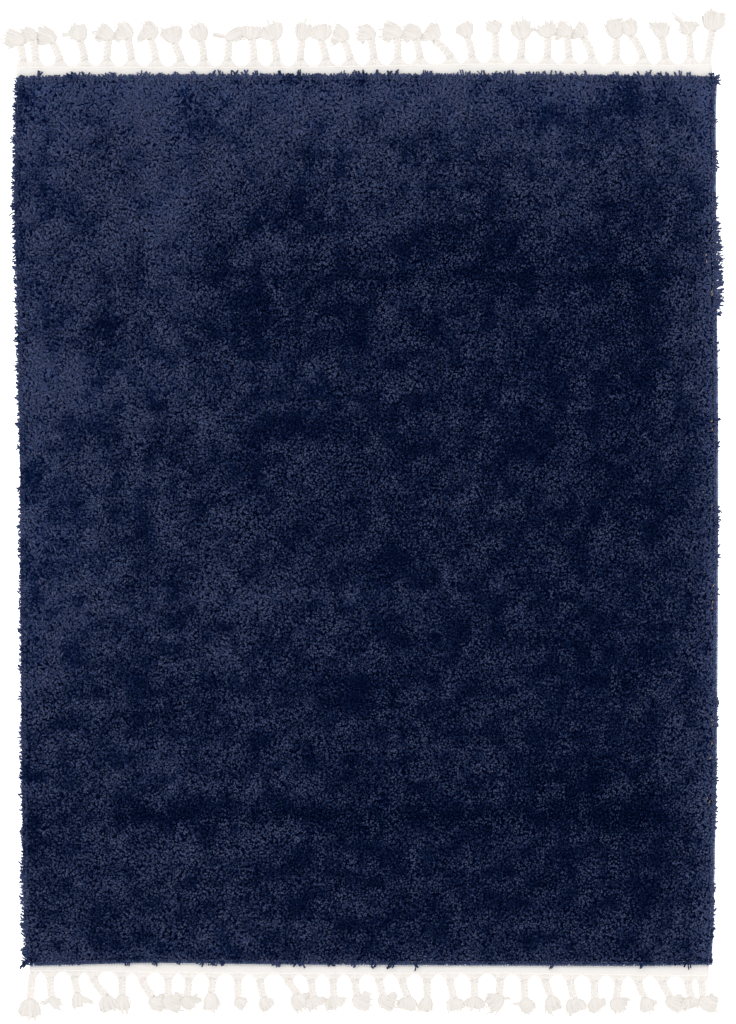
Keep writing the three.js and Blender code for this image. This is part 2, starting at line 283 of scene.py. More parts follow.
@dataclass(frozen=True)
class Insets:
    """How far a shape stays inside each of the rug's edges, in metres."""

    left: float = 0.0
    right: float = 0.0
    lower: float = 0.0
    upper: float = 0.0


def smooth_noise(x: np.ndarray, y: np.ndarray, cell: float, seed: int) -> np.ndarray:
    """Soft random hills in plan.

    Random values stand on the corners of a square lattice, and between corners they are blended with the
    curve 3t² − 2t³ along both directions.

    Args:
        x: Places across, in metres.
        y: Places along, in metres.
        cell: The lattice's step, in metres.
        seed: The seed of the random values.

    Returns:
        Values between −1 and 1, one for each place.
    """
    lattice = 512
    corners = np.random.default_rng(seed).uniform(-1, 1, (lattice, lattice))
    column, row = np.floor(x / cell).astype(int), np.floor(y / cell).astype(int)
    share_x, share_y = x / cell - column, y / cell - row
    share_x, share_y = (t * t * (3 - 2 * t) for t in (share_x, share_y))
    left, right = column % lattice, (column + 1) % lattice
    below, above = row % lattice, (row + 1) % lattice
    lower = corners[left, below] * (1 - share_x) + corners[right, below] * share_x
    upper = corners[left, above] * (1 - share_x) + corners[right, above] * share_x
    return lower * (1 - share_y) + upper * share_y


def unit(vectors: np.ndarray) -> np.ndarray:
    """Scale each vector to length one."""
    return vectors / np.maximum(np.linalg.norm(vectors, axis=-1, keepdims=True), 1e-12)


class RugOutline:
    """The rug's edge lines in plan, in metres, straight between the rows of the two tables."""

    def __init__(self, sides: Sequence[SideRow], ends: Sequence[EndRow]) -> None:
        """Turn the tables into columns of metres.

        Args:
            sides: The long sides, from the lower end to the upper one.
            ends: The short ends, from left to right.
        """
        self.side = {name: np.array([getattr(row, name) for row in sides]) * MM for name in SideRow._fields}
        self.end = {name: np.array([getattr(row, name) for row in ends]) * MM for name in EndRow._fields}

    def side_line(self, name: str, y: np.ndarray) -> np.ndarray:
        """Give x of a long side's line at each y."""
        return np.interp(y, self.side["y"], self.side[name])

    def end_line(self, name: str, x: np.ndarray) -> np.ndarray:
        """Give y of a short end's line at each x."""
        return np.interp(x, self.end["x"], self.end[name])

    def inside(self, edge: Edge, along: np.ndarray, inset: float | np.ndarray) -> np.ndarray:
        """Place points at a distance inside an edge line.

        Args:
            edge: The edge.
            along: Places along it: y on a side, x on an end.
            inset: Their distances inside it.

        Returns:
            Points, one row of x and y for each place.
        """
        name = edge.value
        if edge.is_side:
            return np.stack([self.side_line(name, along) - edge.outward[0] * inset, along], axis=-1)
        return np.stack([along, self.end_line(name, along) - edge.outward[1] * inset], axis=-1)

    def place(self, u: np.ndarray, v: np.ndarray, inset: Insets) -> tuple[np.ndarray, np.ndarray]:
        """Spread shares over the area between the edges.

        A point lies u of the way from the left line to the right one at its own y, and v of the way from
        the lower line to the upper one at its own x. Each line depends on the other, so it is worked out
        three times over, which settles it.

        Args:
            u: Shares across, 0 at the left and 1 at the right.
            v: Shares along, 0 at the lower end and 1 at the upper.
            inset: How far the area stays inside the edges.

        Returns:
            x and y of each point, in metres.
        """
        x, y = (u - 0.5) * 1.6, (v - 0.5) * 2.0
        for _ in range(3):
            left, right = self.side_line("left", y) + inset.left, self.side_line("right", y) - inset.right
            x = left + (right - left) * u
            lower, upper = self.end_line("lower", x) + inset.lower, self.end_line("upper", x) - inset.upper
            y = lower + (upper - lower) * v
        return x, y


class Corners(NamedTuple):
    """Like faces of a ringed body: the vertex, the ring and the share of the way round of each corner."""

    vertex: np.ndarray
    ring: np.ndarray
    turn: np.ndarray


def number_corners(rings: Sequence[object], places: Sequence[object], corners: int, pointed: bool) -> Corners:
    """Number the corners of like faces on a body whose vertices are counted ring by ring.

    Args:
        rings: For each corner of a face, the rings that it takes.
        places: For each corner of a face, the places round the ring.
        corners: The number of corners in a ring.
        pointed: Whether a single vertex stands for the first ring.

    Returns:
        The corners, a row for each face.
    """
    flat = [part.ravel() for part in np.broadcast_arrays(*rings, *places)]
    ring = np.stack(flat[: len(rings)], axis=-1)
    place = np.stack(flat[len(rings) :], axis=-1)
    vertex = ring * corners + place % corners
    if pointed:
        vertex = np.where(ring == 0, 0, vertex - corners + 1)
    return Corners(vertex, ring, place / corners)


def body_faces(stations: int, corners: int, pointed: bool) -> list[Corners]:
    """Lay faces over a row of rings and close both of its ends.

    Neighbouring rings are joined by four-cornered faces, and a ring at an end is closed by one flat face. A
    pointed body starts with a single vertex, and a fan of triangles joins it to the next ring.

    Args:
        stations: The number of rings, the point counted as one.
        corners: The number of corners in a ring.
        pointed: Whether the body starts in a point.

    Returns:
        The faces, one entry for each kind.
    """
    place = np.arange(corners)
    ring = np.arange(1 if pointed else 0, stations - 1)[:, None]
    walls = ((ring, ring, ring + 1, ring + 1), (place, place + 1, place + 1, place))
    end = ([np.array([stations - 1])] * corners, [place[n : n + 1] for n in range(corners)])
    if pointed:
        start = ((0 * place, 0 * place + 1, 0 * place + 1), (place, place + 1, place))
    else:
        start = ([np.array([0])] * corners, [place[n : n + 1] for n in reversed(range(corners))])
    kinds = [number_corners(*kind, corners, pointed) for kind in (walls, end, start)]
    return [kind for kind in kinds if len(kind.vertex)]


class YarnStock:
    """Ringed bodies gathered from many yarns and bands, then knotted into one mesh."""

    def __init__(self) -> None:
        """Start with nothing gathered."""
        self.points: list[np.ndarray] = []
        self.tones: list[np.ndarray] = []
        self.rises: list[np.ndarray] = []
        self.faces: list[np.ndarray] = []
        self.smooth: list[np.ndarray] = []
        self.wraps: list[np.ndarray] = []
        self.cells: list[np.ndarray] = []
        self.count = 0
        self.bodies = 0

    def add(self, rings: np.ndarray, tone: np.ndarray, pointed: bool = False, smooth: bool = True) -> None:
        """Gather closed bodies, each a row of rings.

        The wrap coordinate runs from 0 to 1 round a ring and in metres along the body. The rise runs from 0
        at a body's first ring to 1 at its last.

        Args:
            rings: Points as bodies × rings × corners × 3, turning right-handed about the way they run.
            tone: A brightness for each body, or also for each ring, or also for each corner.
            pointed: Whether each body's first ring is drawn together into one point.
            smooth: Whether the bodies are lit as round ones, not as folded ones.
        """
        bodies, stations, corners = rings.shape[:3]
        middles = rings.mean(axis=2)
        steps = np.linalg.norm(np.diff(middles, axis=1), axis=-1)
        length = np.concatenate([np.zeros((bodies, 1)), np.cumsum(steps, axis=1)], axis=1)
        share = np.linspace(0, 1, stations)
        tone = np.asarray(tone, dtype=float)
        tone = np.broadcast_to(tone.reshape(tone.shape + (1,) * (3 - tone.ndim)), (bodies, stations, corners))
        tone = tone.reshape(bodies, -1)
        spread = [1 if pointed and station == 0 else corners for station in range(stations)]
        owner = np.repeat(np.arange(stations), spread)
        points = rings.reshape(bodies, -1, 3)
        if pointed:
            points = np.concatenate([middles[:, :1], points[:, corners:]], axis=1)
            tone = np.concatenate([tone[:, :1], tone[:, corners:]], axis=1)
        size = points.shape[1]
        base = self.count + np.arange(bodies)[:, None, None] * size
        number = self.bodies + np.arange(bodies)
        for kind in body_faces(stations, corners, pointed):
            shape = (bodies, *kind.vertex.shape)
            self.faces.append((base + kind.vertex).reshape(-1, kind.vertex.shape[1]))
            self.smooth.append(np.full(len(self.faces[-1]), smooth))
            turn = np.broadcast_to(kind.turn, shape)
            self.wraps.append(np.stack([turn, length[:, kind.ring]], axis=-1).reshape(-1, 2))
            body = np.broadcast_to(number[:, None, None], shape)
            along = np.broadcast_to(share[kind.ring], shape)
            self.cells.append(np.stack([body, turn, along], axis=-1).reshape(-1, 3))
        self.points.append(points.reshape(-1, 3))
        self.tones.append(tone.ravel())
        self.rises.append(np.broadcast_to(share[owner], (bodies, size)).ravel())
        self.count += bodies * size
        self.bodies += bodies

    def knot(self, name: str, material: bpy.types.Material) -> bpy.types.Object:
        """Make one mesh object of everything gathered.

        Args:
            name: The piece's name.
            material: Its finish.

        Returns:
            The object, at the origin, with its place in its mesh.
        """
        mesh = bpy.data.meshes.new(name)
        points = np.concatenate(self.points)
        mesh.vertices.add(len(points))
        mesh.vertices.foreach_set("co", points.astype(np.float32).ravel())
        corners = np.concatenate([face.ravel() for face in self.faces])
        sizes = np.concatenate([np.full(len(face), face.shape[1]) for face in self.faces])
        starts = np.cumsum(sizes) - sizes
        mesh.loops.add(len(corners))
        mesh.loops.foreach_set("vertex_index", corners.astype(np.int32))
        mesh.polygons.add(len(sizes))
        mesh.polygons.foreach_set("loop_start", starts.astype(np.int32))
        mesh.update(calc_edges=True)
        self.unwrap(mesh)
        for label, values in (("tone", self.tones), ("rise", self.rises)):
            layer = mesh.attributes.new(label, "FLOAT", "POINT")
            layer.data.foreach_set("value", np.concatenate(values).astype(np.float32))
        mesh.polygons.foreach_set("use_smooth", np.concatenate(self.smooth))
        mesh.materials.append(material)
        piece = bpy.data.objects.new(name, mesh)
        bpy.context.scene.collection.objects.link(piece)
        return piece

    def unwrap(self, mesh: bpy.types.Mesh) -> None:
        """Lay the wrap map, and a map that gives every body its own cell of a square grid.

        Args:
            mesh: The mesh, with its faces in the order that they were gathered.
        """
        wrap = mesh.uv_layers.new(name="Wrap")
        wrap.data.foreach_set("uv", np.concatenate(self.wraps).astype(np.float32).ravel())
        cells = np.concatenate(self.cells)
        side = math.ceil(math.sqrt(self.bodies))
        place = np.stack([cells[:, 0] % side, cells[:, 0] // side], axis=-1)
        margin = 0.06
        inner = margin + (1 - 2 * margin) * cells[:, 1:]
        flat = mesh.uv_layers.new(name="OFBake")
        flat.data.foreach_set("uv", ((place + inner) / side).astype(np.float32).ravel())


def sweep(
    centres: np.ndarray,
    aside: np.ndarray,
    wide: np.ndarray,
    high: np.ndarray,
    corners: int,
    turn: float | np.ndarray = 0.0,
) -> np.ndarray:
    """Carry an oval section along each of many lines.

    With t the line's direction, n the unit vector of t × aside and a = n × t, the ring about a centre c is
    c + a · wide · cos q + n · high · sin q, where q goes once round in equal steps from turn.

    Args:
        centres: Line points as lines × stations × 3.
        aside: A direction across each line, as lines × 1 × 3 or for each station.
        wide: The section's half width at each station.
        high: The section's half height at each station.
        corners: The number of corners in a ring.
        turn: The angle of the first corner, one number or lines × 1 × 1.

    Returns:
        Ring points as lines × stations × corners × 3.
    """
    along = unit(np.gradient(centres, axis=1))
    normal = unit(np.cross(along, np.broadcast_to(aside, centres.shape)))
    across = np.cross(normal, along)
    angle = turn + TURN * np.arange(corners) / corners
    ring = across[:, :, None] * (np.asarray(wide)[..., None] * np.cos(angle))[..., None]
    ring = ring + normal[:, :, None] * (np.asarray(high)[..., None] * np.sin(angle))[..., None]
    return centres[:, :, None] + ring


def lift(plan: np.ndarray, height: np.ndarray | float) -> np.ndarray:
    """Add heights to points in plan."""
    return np.concatenate([plan, np.broadcast_to(height, plan.shape[:-1])[..., None]], axis=-1)


Colour = tuple[float, float, float, float]


class NodeBench:
    """Lays out and joins the nodes of one material."""

    def __init__(self, name: str) -> None:
        """Start a material with its Principled shader.

        Args:
            name: The material's name.
        """
        self.material = bpy.data.materials.new(name)
        self.material.use_nodes = True
        self.tree = self.material.node_tree
        self.shader = self.tree.nodes["Principled BSDF"]

    def node(self, kind: str, inputs: dict | None = None, **settings: object) -> bpy.types.Node:
        """Add a node.

        Args:
            kind: The node's type.
            inputs: Values or output sockets for its inputs, by name or number.
            settings: The node's own settings.

        Returns:
            The node.
        """
        made = self.tree.nodes.new(kind)
        for key, value in settings.items():
            setattr(made, key, value)
        for key, value in (inputs or {}).items():
            self.feed(made.inputs[key], value)
        return made

    def feed(self, socket: bpy.types.NodeSocket, value: object) -> None:
        """Join an output socket to an input, or set the input's own value.

        Args:
            socket: The input.
            value: An output socket, or the input's own value.
        """
        if isinstance(value, bpy.types.NodeSocket):
            self.tree.links.new(value, socket)
        else:
            socket.default_value = value

    def attribute(self, name: str) -> bpy.types.NodeSocket:
        """Read a number kept on the mesh's points."""
        return self.node("ShaderNodeAttribute", attribute_name=name).outputs["Fac"]

    def place(self) -> bpy.types.NodeSocket:
        """Read the place on the object, in its own coordinates."""
        return self.node("ShaderNodeTexCoord").outputs["Object"]

    def part(self, vector: object, axis: str) -> bpy.types.NodeSocket:
        """Take X, Y or Z out of a vector or a colour."""
        return self.node("ShaderNodeSeparateXYZ", {0: vector}).outputs[axis]

    def sum(self, operation: str, *terms: object) -> bpy.types.NodeSocket:
        """Work out a number from others."""
        return self.node("ShaderNodeMath", dict(enumerate(terms)), operation=operation).outputs[0]

    def blend(self, share: object, first: object, second: object, way: str = "MIX") -> bpy.types.NodeSocket:
        """Mix two colours by a share."""
        made = self.node("ShaderNodeMix", {0: share, 6: first, 7: second}, data_type="RGBA", blend_type=way)
        return made.outputs[2]

    def shaded(self, colour: object, *lights: object) -> bpy.types.NodeSocket:
        """Multiply a colour by numbers.

        Args:
            colour: The colour.
            lights: The numbers.

        Returns:
            The product.
        """
        for light in lights:
            colour = self.blend(1.0, colour, light, "MULTIPLY")
        return colour

    def spread(
        self, value: object, low: float, high: float, new_low: float, new_high: float
    ) -> bpy.types.NodeSocket:
        """Stretch a range of numbers onto another, held at its ends."""
        made = self.node("ShaderNodeMapRange", {0: value, 1: low, 2: high, 3: new_low, 4: new_high})
        return made.outputs[0]

    def ramp(self, value: object, stops: Sequence[tuple[float, Colour]]) -> bpy.types.NodeSocket:
        """Turn a number into a colour between stops.

        Args:
            value: The number, from 0 to 1.
            stops: Places on that range and their colours.

        Returns:
            The colour.
        """
        made = self.node("ShaderNodeValToRGB", {0: value})
        marks = made.color_ramp.elements
        while len(marks) < len(stops):
            marks.new(0.5)
        for mark, (place, colour) in zip(marks, stops):
            mark.position = place
            mark.color = colour
        return made.outputs[0]

    def noise(self, scale: float, detail: float = 2.0) -> bpy.types.NodeSocket:
        """Read soft random clouds at the object's own coordinates."""
        inputs = {"Vector": self.place(), "Scale": scale, "Detail": detail}
        return self.node("ShaderNodeTexNoise", inputs).outputs["Fac"]

    def ply(self, plies: float, pitch: float) -> bpy.types.NodeSocket:
        """Give the height of a yarn's twist: a sine that climbs round the yarn, one wave for each ply.

        Args:
            plies: The plies in the yarn.
            pitch: The length of one twist, in metres.

        Returns:
            The height, from −1 to 1.
        """
        wrap = self.node("ShaderNodeUVMap", uv_map="Wrap").outputs["UV"]
        round_share = self.sum("MULTIPLY", self.part(wrap, "X"), plies * TURN)
        return self.sum("SINE", self.sum("MULTIPLY_ADD", self.part(wrap, "Y"), TURN / pitch, round_share))

    def finish(
        self, colour: object, roughness: object, height: object, relief: float, **uniform: object
    ) -> bpy.types.Material:
        """Join the shader's inputs.

        Args:
            colour: The base colour.
            roughness: The roughness.
            height: The height that the bump follows.
            relief: The bump's depth in metres.
            uniform: Numbers and colours that are the same all over, by socket name with _ for spaces.

        Returns:
            The material.
        """
        bump = self.node("ShaderNodeBump", {"Height": height, "Strength": 0.6, "Distance": relief})
        self.feed(self.shader.inputs["Base Color"], colour)
        self.feed(self.shader.inputs["Roughness"], roughness)
        self.feed(self.shader.inputs["Normal"], bump.outputs["Normal"])
        for name, value in uniform.items():
            self.shader.inputs[name.replace("_", " ")].default_value = value
        return self.material


@dataclass(frozen=True)
class PileYarn:
    """Soft dull yarn, cut at the tip: painted shade makes it deep blue at the root, painted light and sheen
    greyer at the tip.
    """

    deep: Colour = (0.0001, 0.0036, 0.027, 1)
    middle: Colour = (0.0079, 0.0188, 0.0686, 1)
    open: Colour = (0.030, 0.046, 0.121, 1)
    bright: Colour = (0.045, 0.063, 0.142, 1)
    glint: Colour = (0.068, 0.089, 0.188, 1)
    ply_pitch: float = 7 * MM

    def material(self) -> bpy.types.Material:
        """Make the yarn's material from its tone, its rise from root to tip, its twist and its fibres.

        Returns:
            The material.
        """
        bench = NodeBench("pile_yarn")
        fibre = bench.noise(1400, 3)
        # Painted shade: the colour darkens from the tip down to the root, where the pile is in shade.
        root_shade = bench.spread(bench.attribute("rise"), 0.25, 1.0, 0.10, 0.37)
        fleck = bench.spread(bench.noise(380, 2), 0.35, 0.65, 0.75, 1.25)
        light = bench.sum("MULTIPLY", bench.sum("MULTIPLY", root_shade, bench.attribute("tone")), fleck)
        # The stops run from painted shade deep in the pile up to a painted glint on the brightest tips.
        stops = ((0, self.deep), (0.19, self.middle), (0.37, self.open), (0.62, self.bright), (1, self.glint))
        colour = bench.ramp(light, stops)
        cloud = bench.spread(bench.noise(150, 2), 0.35, 0.65, 0.0, 1.0)
        cold, warm = (0.84, 1.01, 1.0, 1), (1.16, 0.99, 1.0, 1)
        colour = bench.shaded(colour, bench.blend(cloud, cold, warm))
        roughness = bench.spread(fibre, 0.3, 0.7, 0.75, 1.0)
        height = bench.sum("MULTIPLY_ADD", bench.ply(2, self.ply_pitch), 0.4, fibre)
        return bench.finish(colour, roughness, height, 0.8 * MM, Specular_IOR_Level=0.02)


@dataclass(frozen=True)
class PileShade:
    """The crowded lower part of the pile: yarn tips side by side, each of its own brightness."""

    deep: Colour = (0.0001, 0.0024, 0.019, 1)
    middle: Colour = (0.0079, 0.0188, 0.0686, 1)
    lit: Colour = (0.0545, 0.075, 0.171, 1)
    tip_pitch: float = 5.5 * MM

    def material(self) -> bpy.types.Material:
        """Make the bed's material: tip-sized cells with painted shade at their rims, lighter with more tone.

        Returns:
            The material.
        """
        bench = NodeBench("pile_shade")
        cells = bench.node("ShaderNodeTexVoronoi", {"Vector": bench.place(), "Scale": 1 / self.tip_pitch})
        own = bench.part(cells.outputs["Color"], "X")
        # Painted shade: each cell darkens towards its rim, where neighbouring tips meet.
        tip = bench.spread(cells.outputs["Distance"], 0.1, 0.7, 1.0, 0.0)
        fibre = bench.noise(700, 2)
        light = bench.sum("MULTIPLY", bench.sum("MULTIPLY_ADD", own, 0.9, 0.15), tip)
        light = bench.sum("MULTIPLY", light, bench.spread(fibre, 0.3, 0.7, 0.6, 1.3))
        light = bench.sum("MULTIPLY", light, bench.attribute("tone"))
        colour = bench.ramp(light, ((0.0, self.deep), (0.4, self.middle), (1.0, self.lit)))
        roughness = bench.spread(fibre, 0.3, 0.7, 0.85, 1.0)
        return bench.finish(colour, roughness, tip, 3 * MM, Specular_IOR_Level=0.02)


@dataclass(frozen=True)
class BindingYarn:
    """Smooth overcasting yarn, lighter and greyer than the pile."""

    shade: Colour = (0.150, 0.198, 0.340, 1)
    light: Colour = (0.226, 0.292, 0.452, 1)

    def material(self) -> bpy.types.Material:
        """Make the yarn's material: fine fibres, and turns that differ a little.

        Returns:
            The material.
        """
        bench = NodeBench("binding_yarn")
        fibre = bench.noise(1100, 3)
        colour = bench.blend(bench.spread(bench.noise(160, 1), 0.3, 0.7, 0.0, 1.0), self.shade, self.light)
        colour = bench.shaded(colour, bench.attribute("tone"), bench.spread(fibre, 0.3, 0.7, 0.8, 1.15))
        roughness = bench.spread(fibre, 0.3, 0.7, 0.6, 0.85)
        return bench.finish(
            colour, roughness, fibre, 0.5 * MM, Specular_IOR_Level=0.2, Sheen_Weight=0.1, Sheen_Roughness=0.4
        )


@dataclass(frozen=True)
class FringeCotton:
    """Undyed cotton: warm white with slightly darker and yellower slubs."""

    white: Colour = (0.935, 0.897, 0.860, 1)
    warm: Colour = (0.925, 0.880, 0.835, 1)
    ply_pitch: float = 6 * MM

    def material(self) -> bpy.types.Material:
        """Make the cotton's material from its twist, slubs and fine fibres.

        Returns:
            The material.
        """
        bench = NodeBench("fringe_cotton")
        fibre = bench.noise(1500, 2)
        colour = bench.blend(bench.spread(bench.noise(90, 3), 0.35, 0.7, 0.0, 1.0), self.white, self.warm)
        colour = bench.shaded(colour, bench.attribute("tone"), bench.spread(fibre, 0.3, 0.7, 0.95, 1.04))
        roughness = bench.spread(fibre, 0.3, 0.7, 0.8, 1.0)
        height = bench.sum("MULTIPLY_ADD", bench.ply(2, self.ply_pitch), 0.5, fibre)
        return bench.finish(colour, roughness, height, 0.2 * MM, Specular_IOR_Level=0.1)


@dataclass(frozen=True)
class TapeCotton:
    """The same cotton woven into a tape: fine warps side by side across its width."""

    thread: Colour = (0.925, 0.900, 0.870, 1)
    gap: Colour = (0.865, 0.838, 0.805, 1)
    pitch: float = 2.8 * MM

    def material(self) -> bpy.types.Material:
        """Make the tape's material: a sine across the rug marks each warp.

        Returns:
            The material.
        """
        bench = NodeBench("tape_cotton")
        wave = bench.sum("SINE", bench.sum("MULTIPLY", bench.part(bench.place(), "X"), TURN / self.pitch))
        warp = bench.spread(wave, -1, 1, 0.0, 1.0)
        slub = bench.noise(240, 3)
        colour = bench.blend(bench.sum("MULTIPLY_ADD", warp, 0.5, slub), self.gap, self.thread)
        colour = bench.shaded(colour, bench.attribute("tone"))
        roughness = bench.spread(slub, 0.3, 0.7, 0.8, 1.0)
        return bench.finish(colour, roughness, warp, 0.25 * MM, Specular_IOR_Level=0.1)


@dataclass(frozen=True)
class WovenJute:
    """The ground's plain weave of tan jute, with darker gaps between its threads."""

    thread: Colour = (0.66, 0.53, 0.41, 1)
    gap: Colour = (0.20, 0.13, 0.08, 1)
    pitch: float = 4 * MM

    def material(self) -> bpy.types.Material:
        """Make the weave's material: the product of one sine across and one along marks its threads.

        Returns:
            The material.
        """
        bench = NodeBench("woven_jute")
        places = (bench.part(bench.place(), axis) for axis in "XY")
        waves = (bench.sum("MULTIPLY", place, math.pi / self.pitch) for place in places)
        across, along = (bench.sum("SINE", wave) for wave in waves)
        weave = bench.spread(bench.sum("MULTIPLY", across, along), -1, 1, 0.0, 1.0)
        slub = bench.noise(300, 3)
        share = bench.sum("MULTIPLY", weave, bench.spread(slub, 0.2, 0.6, 0.4, 1.0))
        colour = bench.blend(share, self.gap, self.thread)
        roughness = bench.spread(slub, 0.3, 0.7, 0.8, 1.0)
        return bench.finish(colour, roughness, weave, 1 * MM, Specular_IOR_Level=0.1)


def lie_of_pile(x: np.ndarray, y: np.ndarray) -> np.ndarray:
    """Say how flat the pile lies.

    Each mark adds its strength times exp(−(dx/half_x)⁴ − (dy/half_y)²) to a common lie.

    Args:
        x: Places across, in metres.
        y: Places along, in metres.

    Returns:
        Values from 0, standing, to about 1, lying flat.
    """
    common = 0.25
    marks = np.array(NAP_MARKS)[:, :, None]
    mark_x, mark_y, half_x, half_y = (marks[:, column] * MM for column in range(4))
    fall_off = np.exp(-(((x - mark_x) / half_x) ** 4) - ((y - mark_y) / half_y) ** 2)
    return np.clip(common + (marks[:, 4] * fall_off).sum(axis=0), 0, 1.2)


def clumps_of_pile(x: np.ndarray, y: np.ndarray) -> np.ndarray:
    """Say where the pile bunches (plus) and parts (minus).

    It adds up soft hills with cells of 13, 24, 50 and 100 mm, the broad ones fading towards the lower right
    corner, and hills drawn out seven times, across the rug in its lower half and along it in its upper half.

    Args:
        x: Places across, in metres.
        y: Places along, in metres.

    Returns:
        Values about 0, mostly between −2 and 2.
    """
    low_half = np.clip(0.5 - y / (500 * MM), 0, 1)
    hills = 0.9 * smooth_noise(x, y, 13 * MM, 23) + 1.7 * smooth_noise(x, y, 24 * MM, 24)
    broad = 1.1 - 0.6 * np.clip(0.5 + (x - y) / (1600 * MM), 0, 1)
    hills = hills + broad * (smooth_noise(x, y, 50 * MM, 25) + 0.8 * smooth_noise(x, y, 100 * MM, 28))
    rows = 0.75 * low_half * smooth_noise(x / 7, y, 20 * MM, 26)
    columns = 0.6 * (1 - low_half) * smooth_noise(x, y / 7, 24 * MM, 27)
    return hills + rows + columns


class Growth(NamedTuple):
    """Cut yarn ends to be shaped: roots and directions in plan, reaches, heights, half thickness and tone."""

    root: np.ndarray
    way: np.ndarray
    reach: np.ndarray
    crest: np.ndarray
    tip: np.ndarray
    half: np.ndarray
    tone: np.ndarray


@dataclass(frozen=True)
class StrandLayer:
    """One layer of yarn ends: how far apart they stand, rings, height, reach, thickness and brightness."""

    spacing: float
    stations: int
    crest: float
    reach: float
    thickness: float
    tone: float
    seed: int


@dataclass(frozen=True)
class EdgeFray:
    """The yarn ends along one edge: where they are rooted, how they hang, and how far they reach past it."""

    edge: Edge
    rows: int
    root: float
    step: float
    crest: float
    tip: float
    reaches: Sequence[Reach]
    strays: Sequence[Reach]
    yarns_in_stray: int
    rough: float
    spiky: float
    # Painted light: how much brighter this edge's yarn ends are painted.
    light: float
    seed: int


@dataclass(frozen=True)
class EdgeRule:
    """How strongly something changes at each edge, and the distance over which that fades."""

    left: float
    right: float
    lower: float
    upper: float
    fade: float


